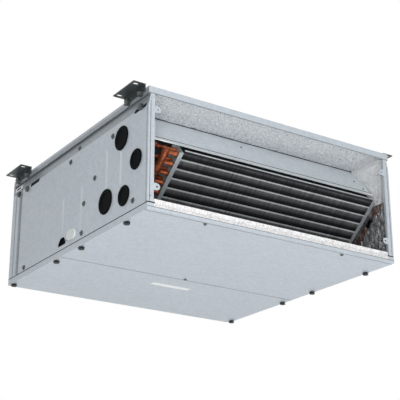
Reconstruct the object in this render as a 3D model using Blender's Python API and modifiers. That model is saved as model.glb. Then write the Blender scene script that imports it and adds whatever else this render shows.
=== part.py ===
# Horizontal concealed fan coil unit: a folded sheet casing with a slanted finned coil, a drain pan,
# two scroll blowers on one shaft and four hanger brackets. Metres, +Z up, outlet towards -Y.
# The origin is the centre of the plane of the hanger brackets' top faces.

import math

import bmesh
import bpy
from mathutils import Matrix, Vector

# Casing
CASE_WIDTH = 0.712
CASE_DEPTH = 0.708
CASE_HEIGHT = 0.292
SHEET = 0.001
GAP = 0.0003
TOP_FLANGE = 0.017
JOGGLE_IN = 0.005
JOGGLE_HEIGHT = 0.025
POST_WIDTH = 0.016
POST_LIP = 0.007
TRAY_WALL = 0.0155
PANEL_CLEARANCE = 0.0005
GROOVE_FROM_REAR = 0.055
GROOVE_WIDTH = 0.010
GROOVE_DEPTH = 0.004

# The fan section takes the rear of the casing: its scrolls and wheels fill the height and the width.
FAN_RAISE = 0.001
SCROLL_SPACE = 0.007
SCROLL_GROWTH = 0.038
SCROLL_SHEET = 0.0012
SCROLL_SIDE_SPACE = 0.070
MOTOR_BAY = 0.192
FAN_UP = CASE_HEIGHT / 2 + FAN_RAISE
SCROLL_REACH = CASE_HEIGHT - FAN_UP - SCROLL_SPACE
SCROLL_START = SCROLL_REACH - SCROLL_GROWTH
SCROLL_WIDTH = (CASE_WIDTH - MOTOR_BAY) / 2 - SCROLL_SIDE_SPACE
SCROLL_CENTRES = (SCROLL_SIDE_SPACE + SCROLL_WIDTH / 2, CASE_WIDTH - SCROLL_SIDE_SPACE - SCROLL_WIDTH / 2)
FAN_AXIS = (CASE_DEPTH - SCROLL_REACH, FAN_UP)
DECK_CLEARANCE = 0.002
DECK_SHEET = 0.0012
DECK_BACK = FAN_AXIS[0] - SCROLL_REACH - DECK_CLEARANCE
OUTLET_RISE = 0.036
OUTLET_LOW = FAN_UP + OUTLET_RISE
WHEEL_CLEARANCE = 0.008
WHEEL_SIDE_SPACE = 0.020
WHEEL_RADIUS = SCROLL_START - WHEEL_CLEARANCE
WHEEL_WIDTH = SCROLL_WIDTH - 2 * WHEEL_SIDE_SPACE
INLET_LIP = 0.012
INLET_RADIUS = WHEEL_RADIUS - INLET_LIP

# The drain pan ends before the fan deck, and the access panels meet under the space between them.
PAN_FROM_DECK = 0.030
SPLIT_FROM_DECK = 0.022
PAN_REAR = DECK_BACK - PAN_FROM_DECK
PANEL_SPLIT = DECK_BACK - SPLIT_FROM_DECK
SPIGOT_FROM_REAR = 0.012
SPIGOT_BACK = PAN_REAR - SPIGOT_FROM_REAR

# Holes in the sides
PLUG_OVERLAP = 0.003
PLUG_RIM = 0.003
PLUG_NECK = 0.006
PLUG_WALL = 0.0025
PLUG_EASE = 0.0015
PLUG_DISH = (0.62, 0.68)
RETURN_FROM_TOP = 0.085
PLUGS = {
    "return": {"place": (0.118, CASE_HEIGHT - RETURN_FROM_TOP), "diameter": 0.059},
    "upper": {"place": (0.051, 0.132), "diameter": 0.049},
    "lower": {"place": (0.102, 0.0615), "diameter": 0.049},
    "supply": {"place": (0.186, 0.073), "diameter": 0.061},
}
DRAIN_HOLE_PLACE = (SPIGOT_BACK + 0.014, 0.027)
DRAIN_HOLE_RADIUS = 0.021
CAP_PLACE = (SPIGOT_BACK - 0.037, 0.041)
CAP_LENGTH = 0.044
CAP_HEIGHT = 0.026
CAP_THICKNESS = 0.003
WINDOW_LENGTH = 0.056
WINDOW_HEIGHT = 0.011
WINDOW_PLACES = ((0.037, CASE_HEIGHT - 0.0415), (CASE_DEPTH - 0.132, CASE_HEIGHT - 0.043))
LUG_SIZE = 0.016
LUG_HOLE = 0.005
LUG_HEIGHTS = (0.055, CASE_HEIGHT - 0.054)
POST_HOLES = ((0.0073, CASE_HEIGHT - 0.029, 0.004), (0.0078, 0.031, 0.003))
POST_FOOT = 0.0185
FLOOR_SLOT = (0.010, 0.003)
FLOOR_SLOT_SPACING = 0.402
FLOOR_SLOT_INSETS = {"front": 0.009, "rear": 0.006}

# Knobs of the bottom panels
KNOB_FLATS = 0.013
KNOB_HEIGHT = 0.006
KNOB_SHANK = 0.005
KNOB_HOLE = 0.006
KNOB_SIDES = 8
KNOB_INSET = 0.007
KNOB_PLACES = {
    "front": (0.098, PANEL_SPLIT - 0.097),
    "rear": (PANEL_SPLIT + 0.032, CASE_DEPTH - 0.022),
}

# Hanger brackets
BRACKET_RISE = 0.010
BRACKET_SHEET = 0.0025
BRACKET_LENGTH = 0.093
BRACKET_REACH = 0.032
BRACKET_INSET = 0.0145
BRACKET_LEG = 0.018
EAR_RADIUS = 0.0095
EAR_DROP = 0.016
EAR_SPACING = 0.056
SLOT_LENGTH = 0.015
SLOT_WIDTH = 0.009
SLOT_SPACING = 0.0725
SLOT_OUT = 0.021

# Coil
COIL_TILT = math.radians(50)
COIL_CORNER = (0.034, 0.167)
TUBE_PITCH = 0.0254
ROW_PITCH = 0.022
TUBES_PER_ROW = 9
TUBE_DIAMETER = 0.0095
TUBE_SIDES = 8
TUBE_CLEARANCE = 0.0006
FIN_PITCH = 0.016
FIN_GROOVE = 0.004
END_PLATE_SHEET = 0.0012
END_PLATE_FLANGE = 0.009
COIL_SIDE_SPACE = 0.104
BEND_STEPS = 4
BEND_START = 0.001
HEADER_DIAMETER = 0.015
HEADER_END = 0.009
SUPPLY_HEADER_ACROSS = 0.074
RETURN_HEADER_ACROSS = 0.052
HEADER_JOG = (0.024, 0.040)
HEADER_BEND = 0.012
PIPE_END_SPACE = 0.012

# Baffle above the coil
BAFFLE_START = 0.035
BAFFLE_HEM = 0.009
BAFFLE_FLANGE = 0.018

# Drain pan
PAN_SIDE_SPACE = 0.0175
PAN_FRONT = 0.002
PAN_FLOOR = 0.003
PAN_FRONT_WALL = 0.026
PAN_REAR_WALL = 0.050
PAN_EAR = 0.032
PAN_LIP_INSET = 0.010
SPIGOT_DIAMETER = 0.018
SPIGOT_BORE = 0.014
SPIGOT_HEIGHT = 0.036
SPIGOT_FLANGE = 0.003
SPIGOT_FLANGE_THICKNESS = 0.002

# Wheels, motor and electrical parts
BLADE_DEPTH = 0.014
BLADES = 12
BLADE_LEAN = math.radians(28)
BLADE_GAP_SHARE = 0.55
WHEEL_RING = 0.005
WHEEL_DISC = 0.003
HUB_RADIUS = 0.014
HUB_WIDTH = 0.024
SHAFT_RADIUS = 0.006
SHAFT_FIT = 0.0003
SHAFT_OVERHANG = 0.012
SCROLL_STEPS = 22
MOTOR_DIAMETER = 0.110
MOTOR_LENGTH = 0.110
MOTOR_BOSS = 0.020
MOTOR_BOSS_LENGTH = 0.012
MOTOR_STEP = 0.004
MOTOR_BAND_SHARE = 0.55
CRADLE_WIDTH = 0.080
CRADLE_FLANGE = 0.030
CAPACITOR_DIAMETER = 0.034
CAPACITOR_LENGTH = 0.070
CAPACITOR_SPACE = 0.009
CAPACITOR_EASE = 0.002
TERMINAL_BOX = (0.030, 0.090, 0.140)
TERMINAL_BOX_PLACE = (FAN_AXIS[0] - 0.055, FAN_AXIS[1] - 0.017)
TERMINAL_BOX_EDGE = 0.002

# Rear frame and liner
INTAKE_MARGIN = 0.040
INTAKE_LOW = 0.045
INTAKE_HIGH = CASE_HEIGHT - 0.037
INTAKE_COLLAR = 0.008
LINER_THICKNESS = 0.005
LINER_SPAN = ((0.016, 0.235), (0.027, 0.165))

ARC_STEPS = 12
WELD = 0.00001
HOLE_REACH = 0.004

GALVANISED = ((0.56, 0.59, 0.61), 0.75, 0.42)
DARK_ZINC = ((0.10, 0.105, 0.11), 0.70, 0.45)
COPPER = ((0.72, 0.34, 0.18), 1.00, 0.30)
FINS = ((0.30, 0.31, 0.32), 0.85, 0.45)
BLACK_RUBBER = ((0.018, 0.018, 0.020), 0.0, 0.60)
BLACK_PLASTIC = ((0.020, 0.020, 0.022), 0.0, 0.45)
PALE_PLASTIC = ((0.70, 0.69, 0.64), 0.0, 0.50)
DARK_FOAM = ((0.05, 0.05, 0.055), 0.0, 0.90)
PAINTED_GREY = ((0.32, 0.34, 0.35), 0.0, 0.45)
STEEL = ((0.50, 0.50, 0.51), 1.00, 0.35)


# Places: across from the left side, back from the front and up from the casing's underside.
def place(across, back, up):
    return Vector((across - CASE_WIDTH / 2, back - CASE_DEPTH / 2, up - CASE_HEIGHT - BRACKET_RISE))


ORIGIN_SHIFT = Matrix.Translation(place(0, 0, 0))

# Drawing planes. A point (a, b) of an outline and its thickness c land on the casing's axes as named.
PLAN = ORIGIN_SHIFT
SIDE = ORIGIN_SHIFT @ Matrix(((0, 0, 1, 0), (1, 0, 0, 0), (0, 1, 0, 0), (0, 0, 0, 1)))
FRONT = ORIGIN_SHIFT @ Matrix(((1, 0, 0, 0), (0, 0, -1, 0), (0, 1, 0, 0), (0, 0, 0, 1)))


def coil_frame():
    """Across, down along the coil's face, and into its depth, from the coil's top front corner."""
    corner = place(0, *COIL_CORNER)
    down = Vector((0, math.sin(COIL_TILT), -math.cos(COIL_TILT)))
    inward = Vector((0, math.cos(COIL_TILT), math.sin(COIL_TILT)))
    frame = Matrix.Identity(4)
    for row in range(3):
        frame[row][0] = (1.0, 0.0, 0.0)[row]
        frame[row][1] = down[row]
        frame[row][2] = inward[row]
        frame[row][3] = corner[row]
    return frame


COIL = coil_frame()


def clear_scene():
    for item in list(bpy.data.objects):
        bpy.data.objects.remove(item, do_unlink=True)


def new_collection(name):
    collection = bpy.data.collections.new(name)
    bpy.context.scene.collection.children.link(collection)
    return collection


clear_scene()
PARTS = new_collection("fan_coil_unit")
CUTTERS = new_collection("fan_coil_unit_cutters")


def add_material(item, look):
    colour, metallic, roughness = look
    surface = bpy.data.materials.new(item.name)
    surface.use_nodes = True
    shader = surface.node_tree.nodes["Principled BSDF"]
    shader.inputs["Base Color"].default_value = (*colour, 1.0)
    shader.inputs["Metallic"].default_value = metallic
    shader.inputs["Roughness"].default_value = roughness
    item.data.materials.clear()
    item.data.materials.append(surface)


def new_object(name, mesh, look=None):
    """A part where a look is given, and otherwise a cutter."""
    item = bpy.data.objects.new(name, mesh)
    if look is None:
        CUTTERS.objects.link(item)
        item.hide_render = True
        item.display_type = "WIRE"
    else:
        PARTS.objects.link(item)
        add_material(item, look)
    return item


def mesh_of(bm, name):
    mesh = bpy.data.meshes.new(name)
    bm.to_mesh(mesh)
    bm.free()
    return mesh


def box_into(bm, low, high, frame=ORIGIN_SHIFT):
    size = [b - a for a, b in zip(low, high)]
    middle = [(a + b) / 2 for a, b in zip(low, high)]
    matrix = frame @ Matrix.Translation(middle) @ Matrix.Diagonal((*size, 1.0))
    return bmesh.ops.create_cube(bm, size=1.0, matrix=matrix)["verts"]


def cylinder_into(bm, centre, axis, radius, length, sides=24, frame=ORIGIN_SHIFT):
    turn = Vector((0, 0, 1)).rotation_difference(Vector(axis)).to_matrix().to_4x4()
    matrix = frame @ Matrix.Translation(centre) @ turn
    bmesh.ops.create_cone(bm, cap_ends=True, segments=sides, radius1=radius, radius2=radius,
                          depth=length, matrix=matrix)


def plate_mesh(name, loops, low, high, frame):
    """A flat plate with the given outline and holes, from low to high along its frame's third axis."""
    curve = bpy.data.curves.new(name, "CURVE")
    curve.dimensions = "2D"
    curve.fill_mode = "BOTH"
    curve.extrude = (high - low) / 2
    for loop in loops:
        spline = curve.splines.new("POLY")
        spline.points.add(len(loop) - 1)
        spline.use_cyclic_u = True
        for point, (a, b) in zip(spline.points, loop):
            point.co = (a, b, 0, 1)
    return curve_mesh(name, curve, frame @ Matrix.Translation((0, 0, (low + high) / 2)))


def curve_mesh(name, curve, frame):
    """The closed mesh of a curve, welded at its caps, in the given frame."""
    guide = bpy.data.objects.new(name, curve)
    PARTS.objects.link(guide)
    evaluated = guide.evaluated_get(bpy.context.evaluated_depsgraph_get())
    mesh = bpy.data.meshes.new_from_object(evaluated)
    bpy.data.objects.remove(guide, do_unlink=True)
    bm = bmesh.new()
    bm.from_mesh(mesh)
    bmesh.ops.remove_doubles(bm, verts=bm.verts, dist=WELD)
    bmesh.ops.recalc_face_normals(bm, faces=bm.faces)
    bm.transform(frame)
    bm.to_mesh(mesh)
    bm.free()
    mesh.name = name
    return mesh


def tube_mesh(name, points, diameter, frame):
    curve = bpy.data.curves.new(name, "CURVE")
    curve.dimensions = "3D"
    curve.bevel_depth = diameter / 2
    curve.bevel_resolution = 2
    curve.use_fill_caps = True
    spline = curve.splines.new("POLY")
    spline.points.add(len(points) - 1)
    for point, position in zip(spline.points, points):
        point.co = (*position, 1)
    return curve_mesh(name, curve, frame)


def arc(centre, radius, start, end, steps=ARC_STEPS):
    """Points on an arc in a plane, angles in degrees."""
    turns = [math.radians(start + (end - start) * i / steps) for i in range(steps + 1)]
    return [(centre[0] + radius * math.cos(t), centre[1] + radius * math.sin(t)) for t in turns]


def circle(centre, radius, sides=24):
    return arc(centre, radius, 0, 360, sides)[:-1]


def obround(centre, length, width, steps=4):
    """A slot with round ends, its length along the first axis."""
    reach = (length - width) / 2
    right = arc((centre[0] + reach, centre[1]), width / 2, -90, 90, steps)
    left = arc((centre[0] - reach, centre[1]), width / 2, 90, 270, steps)
    return right + left


def softened(points, radius, steps=5):
    """A path in space whose inner corners are bent to a radius."""
    path = [Vector(points[0])]
    for before, corner, after in zip(points, points[1:], points[2:]):
        corner = Vector(corner)
        back_way = (Vector(before) - corner).normalized()
        fore_way = (Vector(after) - corner).normalized()
        half = back_way.angle(fore_way) / 2
        reach = radius / math.tan(half)
        centre = corner + (back_way + fore_way).normalized() * (radius / math.sin(half))
        for i in range(steps + 1):
            chord = (corner + back_way * reach).lerp(corner + fore_way * reach, i / steps)
            path.append(centre + (chord - centre).normalized() * radius)
    path.append(Vector(points[-1]))
    return path


def thicken(item, thickness):
    shell = item.modifiers.new("Sheet", "SOLIDIFY")
    shell.thickness = thickness
    shell.offset = -1.0
    shell.use_even_offset = True
    shell.use_quality_normals = True


def cut(item, cutter):
    hole = item.modifiers.new("Cut", "BOOLEAN")
    hole.operation = "DIFFERENCE"
    hole.solver = "EXACT"
    hole.object = cutter


def join(item, added):
    union = item.modifiers.new("Join", "BOOLEAN")
    union.operation = "UNION"
    union.solver = "EXACT"
    union.object = added


def smooth(item, angle=35):
    item.data.shade_smooth()
    item.data.set_sharp_from_angle(angle=math.radians(angle))


def turned(name, profile, origin, axis, look, steps=20):
    """A turned piece. The profile (radius, along) starts and ends on the axis or closes on itself."""
    bm = bmesh.new()
    verts = [bm.verts.new((radius, 0, along)) for radius, along in profile]
    for first, second in zip(verts, verts[1:]):
        bm.edges.new((first, second))
    if profile[0][0] > 0:
        bm.edges.new((verts[-1], verts[0]))
    item = new_object(name, mesh_of(bm, name), look)
    item.location = origin
    item.rotation_mode = "QUATERNION"
    item.rotation_quaternion = Vector((0, 0, 1)).rotation_difference(Vector(axis))
    screw = item.modifiers.new("Turn", "SCREW")
    screw.steps = steps
    screw.render_steps = steps
    screw.use_merge_vertices = True
    screw.merge_threshold = WELD
    screw.use_smooth_shade = False
    return item


def move_origin(item, point):
    """Puts the object's origin at a point and leaves its shape where it is."""
    shift = Vector(point) - item.location
    item.data.transform(Matrix.Translation(-shift))
    item.location = point


def ribbon(name, path, low, high, frame, look, thickness=SHEET):
    """A folded sheet: an open path drawn along its frame's third axis, its thickness on the path's left."""
    bm = bmesh.new()
    verts = [bm.verts.new((a, b, low)) for a, b in path]
    edges = [bm.edges.new(pair) for pair in zip(verts, verts[1:])]
    drawn_on(bm, edges, (0, 0, high - low))
    first = verts[1].co - verts[0].co
    bm.normal_update()
    if verts[0].link_faces[0].normal.dot(Vector((first.y, -first.x, 0))) < 0:
        bmesh.ops.reverse_faces(bm, faces=bm.faces)
    bm.transform(frame)
    item = new_object(name, mesh_of(bm, name), look)
    thicken(item, thickness)
    return item


def tray(name, low, high, open_up, look, thickness=SHEET):
    """An open box of sheet, its outer faces on the given corners."""
    bm = bmesh.new()
    box_into(bm, low, high)
    way = 1.0 if open_up else -1.0
    lids = [face for face in bm.faces if face.normal.z * way > 0.5]
    bmesh.ops.delete(bm, geom=lids, context="FACES_ONLY")
    item = new_object(name, mesh_of(bm, name), look)
    thicken(item, thickness)
    return item


def plain_box(name, low, high, look):
    bm = bmesh.new()
    box_into(bm, low, high)
    return new_object(name, mesh_of(bm, name), look)


def mirrored(mesh):
    """The same shape on the other side of the casing's middle."""
    bm = bmesh.new()
    bm.from_mesh(mesh)
    bm.transform(Matrix.Scale(-1, 4, (1, 0, 0)))
    bmesh.ops.reverse_faces(bm, faces=bm.faces)
    return mesh_of(bm, mesh.name)


def on_side(mesh, side):
    return mirrored(mesh) if side == "right" else mesh


def drawn_on(bm, edges, way):
    """Draws edges on by a vector and returns the new edges."""
    made = bmesh.ops.extrude_edge_only(bm, edges=edges)["geom"]
    verts = [part for part in made if isinstance(part, bmesh.types.BMVert)]
    bmesh.ops.translate(bm, verts=verts, vec=way)
    fresh = set(verts)
    return [part for part in made
            if isinstance(part, bmesh.types.BMEdge) and fresh.issuperset(part.verts)]


def face_out(bm, way):
    """Turns an open surface so that its largest face looks along the given way."""
    bmesh.ops.recalc_face_normals(bm, faces=bm.faces)
    largest = max(bm.faces, key=lambda face: face.calc_area())
    if largest.normal.dot(Vector(way)) < 0:
        bmesh.ops.reverse_faces(bm, faces=bm.faces)


# The side panels' foot rests on the bottom panels' walls, and the drain pan's lips rest on its flange.
SIDE_FOOT = TRAY_WALL + GAP
SEAT_TOP = SIDE_FOOT + SHEET
SIDE_HEAD = CASE_HEIGHT - SHEET - GAP
FLANGE_HEAD = CASE_HEIGHT - TOP_FLANGE - GAP
JOGGLE_FOOT = FLANGE_HEAD - JOGGLE_HEIGHT
SEAT_INSET = POST_LIP + 0.002
REAR_FACE = CASE_DEPTH - SHEET - GAP
DECK_REAR = DECK_BACK + DECK_SHEET
SCROLL_HEAD = FAN_UP + SCROLL_REACH


def make_top_panel():
    low = (0, 0, CASE_HEIGHT - TOP_FLANGE)
    tray("top_panel", low, (CASE_WIDTH, CASE_DEPTH, CASE_HEIGHT), False, GALVANISED)


def side_wall_mesh():
    """One sheet: front post and lip, grooved wall, rear flange, joggled head and foot flange."""
    groove = CASE_DEPTH - GROOVE_FROM_REAR
    slope = GROOVE_DEPTH / 2
    plan = [(POST_WIDTH, POST_LIP), (POST_WIDTH, 0), (0, 0), (0, SEAT_INSET), (0, groove),
            (GROOVE_DEPTH, groove + slope), (GROOVE_DEPTH, groove + GROOVE_WIDTH - slope),
            (0, groove + GROOVE_WIDTH), (0, REAR_FACE - SEAT_INSET), (0, REAR_FACE),
            (POST_WIDTH, REAR_FACE)]
    bm = bmesh.new()
    verts = [bm.verts.new((a, b, SIDE_FOOT)) for a, b in plan]
    foot = [bm.edges.new(pair) for pair in zip(verts, verts[1:])]
    level = drawn_on(bm, foot, (0, 0, JOGGLE_FOOT - SIDE_FOOT))
    head = drawn_on(bm, level, (0, 0, JOGGLE_HEIGHT))
    wall = {vert for edge in head for vert in edge.verts if vert.co.x < POST_WIDTH / 2}
    bmesh.ops.translate(bm, verts=list(wall), vec=(JOGGLE_IN, 0, 0))
    behind_post = {vert for vert in wall if vert.co.y > POST_LIP}
    upper = [edge for edge in head if behind_post.issuperset(edge.verts)]
    drawn_on(bm, upper, (0, 0, SIDE_HEAD - FLANGE_HEAD))
    seat = drawn_on(bm, foot[3:-2], (0, 0, 0))
    for vert in {vert for edge in seat for vert in edge.verts}:
        vert.co.x = POST_WIDTH
    face_out(bm, (-1, 0, 0))
    bm.transform(ORIGIN_SHIFT)
    return mesh_of(bm, "side_wall")


def lug_mesh():
    """Two round-ended lugs with a hole, welded to the back of the front post."""
    reach = POST_WIDTH + LUG_SIZE
    start = POST_WIDTH / 2
    loops = []
    for height in LUG_HEIGHTS:
        loops.append(obround(((start + reach) / 2, height), reach - start, LUG_SIZE))
        loops.append(circle((reach - LUG_SIZE / 2, height), LUG_HOLE / 2, 8))
    return plate_mesh("lugs", loops, -SHEET - GAP / 2, -GAP / 2, FRONT)


def side_hole_mesh(side):
    """All that is cut out of a side panel, as closed bodies: windows, post, knob and pipe holes."""
    windows = WINDOW_PLACES if side == "left" else WINDOW_PLACES[1:]
    loops = [obround(centre, WINDOW_LENGTH, WINDOW_HEIGHT) for centre in windows]
    if side == "left":
        for plug in PLUGS.values():
            loops.append(circle(plug["place"], plug["diameter"] / 2 - PLUG_OVERLAP))
        loops.append(arc(DRAIN_HOLE_PLACE, DRAIN_HOLE_RADIUS, 0, 180, 16))
    through = JOGGLE_IN + SHEET + HOLE_REACH
    bm = bmesh.new()
    bm.from_mesh(plate_mesh("side_holes", loops, -HOLE_REACH, through, SIDE))
    for back in KNOB_PLACES["front"] + KNOB_PLACES["rear"]:
        cylinder_into(bm, (KNOB_INSET, back, SIDE_FOOT), (0, 0, 1), KNOB_HOLE / 2, 6 * SHEET, KNOB_SIDES)
    foot_corner = (POST_WIDTH + SHEET, POST_LIP + SHEET, POST_FOOT)
    box_into(bm, (-SHEET, -SHEET, SIDE_FOOT - SHEET), foot_corner)
    for across, up, diameter in POST_HOLES:
        cylinder_into(bm, (across, SHEET / 2, up), (0, 1, 0), diameter / 2, 4 * SHEET, 10)
    return mesh_of(bm, "side_holes")


def make_side_panel(side):
    name = side + "_side_panel"
    panel = new_object(name, on_side(side_wall_mesh(), side), GALVANISED)
    thicken(panel, SHEET)
    join(panel, new_object(side + "_lugs", on_side(lug_mesh(), side)))
    cut(panel, new_object(side + "_side_holes", on_side(side_hole_mesh(side), side)))


def make_bottom_panel(end, low, high):
    """A tray under the casing, from low to high back from the front."""
    name = "bottom_" + end + "_panel"
    panel = tray(name, (0, low, 0), (CASE_WIDTH, high, TRAY_WALL), True, GALVANISED)
    bm = bmesh.new()
    for across in (KNOB_INSET, CASE_WIDTH - KNOB_INSET):
        for back in KNOB_PLACES[end]:
            cylinder_into(bm, (across, back, 0), (0, 0, 1), KNOB_HOLE / 2, 6 * SHEET, KNOB_SIDES)
    back = FLOOR_SLOT_INSETS[end] if end == "front" else CASE_DEPTH - FLOOR_SLOT_INSETS[end]
    slots = [obround((CASE_WIDTH / 2 + way * FLOOR_SLOT_SPACING / 2, back), *FLOOR_SLOT) for way in (-1, 1)]
    bm.from_mesh(plate_mesh("floor_slots", slots, -2 * SHEET, 2 * SHEET, PLAN))
    cut(panel, new_object(end + "_floor_holes", mesh_of(bm, "floor_holes")))
    move_origin(panel, place(CASE_WIDTH / 2, (low + high) / 2, 0))


def make_knob(end, side, back, number):
    """A hex head under the panel and a shank up to the side panel's foot flange."""
    across = KNOB_INSET if side == "left" else CASE_WIDTH - KNOB_INSET
    name = "knob_" + end + "_" + side + "_" + str(number)
    bm = bmesh.new()
    centre = (across, back, -GAP - KNOB_HEIGHT / 2)
    cylinder_into(bm, centre, (0, 0, 1), KNOB_FLATS / 2 / math.cos(math.pi / 6), KNOB_HEIGHT, 6)
    knob = new_object(name, mesh_of(bm, name), BLACK_PLASTIC)
    bm = bmesh.new()
    bottom = -KNOB_HEIGHT / 2
    middle = (across, back, (bottom + SEAT_TOP) / 2)
    cylinder_into(bm, middle, (0, 0, 1), KNOB_SHANK / 2, SEAT_TOP - bottom, KNOB_SIDES)
    join(knob, new_object(name + "_shank", mesh_of(bm, "shank")))
    move_origin(knob, place(across, back, 0))


def make_rear_frame():
    low = (INTAKE_MARGIN, INTAKE_LOW)
    high = (CASE_WIDTH - INTAKE_MARGIN, INTAKE_HIGH)
    corners = [low, (high[0], low[1]), high, (low[0], high[1])]
    rim = [(low[0] - SHEET, low[1] - SHEET), (high[0] + SHEET, low[1] - SHEET),
           (high[0] + SHEET, high[1] + SHEET), (low[0] - SHEET, high[1] + SHEET)]
    outline = [(0, SIDE_FOOT), (CASE_WIDTH, SIDE_FOOT), (CASE_WIDTH, FLANGE_HEAD), (0, FLANGE_HEAD)]
    sheet = plate_mesh("rear_frame", [outline, corners], -CASE_DEPTH, -CASE_DEPTH + SHEET, FRONT)
    frame = new_object("rear_frame", sheet, GALVANISED)
    collar = plate_mesh("collar", [rim, corners], -CASE_DEPTH + SHEET / 2,
                        -CASE_DEPTH + SHEET + INTAKE_COLLAR, FRONT)
    join(frame, new_object("intake_collar", collar))


def make_fan_deck():
    """The partition that carries the blowers, with an outlet hole for each."""
    side = SHEET + 2 * GAP
    head = side + JOGGLE_IN
    half = [(side, SEAT_TOP + 2 * GAP), (side, JOGGLE_FOOT - GAP), (head, FLANGE_HEAD), (head, SIDE_HEAD)]
    outline = half + [(CASE_WIDTH - across, up) for across, up in reversed(half)]
    loops = [outline]
    inside = SCROLL_WIDTH / 2 - SCROLL_SHEET
    for centre in SCROLL_CENTRES:
        low = (centre - inside, OUTLET_LOW + SCROLL_SHEET)
        high = (centre + inside, SCROLL_HEAD - SCROLL_SHEET)
        loops.append([low, (high[0], low[1]), high, (low[0], high[1])])
    new_object("fan_deck", plate_mesh("fan_deck", loops, -DECK_REAR, -DECK_BACK, FRONT), GALVANISED)


def make_drain_pan():
    """A pan with a tall front and rear wall, side lips on the casing's flanges and an ear for the spigot."""
    low = (PAN_SIDE_SPACE, PAN_FRONT, PAN_FLOOR)
    high = (CASE_WIDTH - PAN_SIDE_SPACE, PAN_REAR, SEAT_TOP + GAP)
    bm = bmesh.new()
    box_into(bm, low, high, Matrix.Identity(4))
    lid = [face for face in bm.faces if face.normal.z > 0.5]
    bmesh.ops.delete(bm, geom=lid, context="FACES_ONLY")
    lip_from = PAN_FRONT + PAN_LIP_INSET
    lip_to = PAN_REAR - PAN_EAR
    for back in (lip_from, lip_to):
        everything = bm.verts[:] + bm.edges[:] + bm.faces[:]
        bmesh.ops.bisect_plane(bm, geom=everything, plane_co=(0, back, 0), plane_no=(0, 1, 0))

    def rim(test):
        return [edge for edge in bm.edges if edge.is_boundary and all(test(vert.co) for vert in edge.verts)]

    tiny = GAP / 10
    front = rim(lambda co: co.y < low[1] + tiny)
    rear = rim(lambda co: co.y > high[1] - tiny)
    ear = rim(lambda co: co.x < low[0] + tiny and co.y > lip_to - tiny)
    left_lip = rim(lambda co: co.x < low[0] + tiny and lip_from - tiny < co.y < lip_to + tiny)
    right_lip = rim(lambda co: co.x > high[0] - tiny and lip_from - tiny < co.y < lip_to + tiny)
    drawn_on(bm, front, (0, 0, PAN_FRONT_WALL - high[2]))
    drawn_on(bm, rear + ear, (0, 0, PAN_REAR_WALL - high[2]))
    reach = PAN_SIDE_SPACE - 3 * SHEET
    drawn_on(bm, left_lip, (-reach, 0, 0))
    drawn_on(bm, right_lip, (reach, 0, 0))
    bmesh.ops.remove_doubles(bm, verts=bm.verts, dist=tiny)
    face_out(bm, (0, 0, -1))
    bm.transform(ORIGIN_SHIFT)
    pan = new_object("drain_pan", mesh_of(bm, "drain_pan"), GALVANISED)
    thicken(pan, SHEET)
    bm = bmesh.new()
    drain = (PAN_SIDE_SPACE, SPIGOT_BACK, SPIGOT_HEIGHT)
    cylinder_into(bm, drain, (1, 0, 0), SPIGOT_BORE / 2, 6 * SHEET, 16)
    cut(pan, new_object("pan_drain", mesh_of(bm, "pan_drain")))


def make_drain_spigot():
    """A flanged black tube against the pan's ear, open through to the half-round hole."""
    outer = SPIGOT_DIAMETER / 2
    bore = SPIGOT_BORE / 2
    length = PAN_SIDE_SPACE - GAP - 3 * SHEET
    flange = outer + SPIGOT_FLANGE
    profile = [(bore, length), (outer, length), (outer, SPIGOT_FLANGE_THICKNESS),
               (flange, SPIGOT_FLANGE_THICKNESS), (flange, 0), (bore, 0)]
    seat = place(PAN_SIDE_SPACE - GAP, SPIGOT_BACK, SPIGOT_HEIGHT)
    spigot = turned("drain_spigot", profile, seat, (-1, 0, 0), BLACK_PLASTIC, 16)
    smooth(spigot)


def make_liner():
    (front, rear), (low, high) = LINER_SPAN
    outer = CASE_WIDTH - SHEET - GAP
    plain_box("right_liner", (outer - LINER_THICKNESS, front, low), (outer, rear, high), DARK_FOAM)


# The comb frame draws an outline of (across, into the coil) up along the coil's face.
COMB = COIL @ Matrix(((1, 0, 0, 0), (0, 0, -1, 0), (0, 1, 0, 0), (0, 0, 0, 1)))
COIL_HEIGHT = TUBES_PER_ROW * TUBE_PITCH
COIL_THICKNESS = 2 * ROW_PITCH
COIL_LEFT = COIL_SIDE_SPACE
COIL_RIGHT = CASE_WIDTH - PAN_SIDE_SPACE - 1.5 * SHEET
FINS_FROM = COIL_LEFT + END_PLATE_FLANGE + END_PLATE_SHEET + GAP
FINS_TO = COIL_RIGHT - END_PLATE_FLANGE - END_PLATE_SHEET - GAP
COIL_FRONT_ROW = ROW_PITCH / 2
COIL_REAR_ROW = ROW_PITCH * 3 / 2


def coil_place(down, inward):
    """Back and up of a point that lies down the coil's face and into its depth."""
    return (COIL_CORNER[0] + down * math.sin(COIL_TILT) + inward * math.cos(COIL_TILT),
            COIL_CORNER[1] - down * math.cos(COIL_TILT) + inward * math.sin(COIL_TILT))


def tube_row(number):
    return (number + 0.5) * TUBE_PITCH


def make_tube_bores():
    bm = bmesh.new()
    middle = (COIL_LEFT + COIL_RIGHT) / 2
    for number in range(TUBES_PER_ROW):
        for inward in (COIL_FRONT_ROW, COIL_REAR_ROW):
            cylinder_into(bm, (middle, tube_row(number), inward), (1, 0, 0),
                          TUBE_DIAMETER / 2 + TUBE_CLEARANCE, CASE_WIDTH, TUBE_SIDES, COIL)
    return new_object("tube_bores", mesh_of(bm, "tube_bores"))


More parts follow.
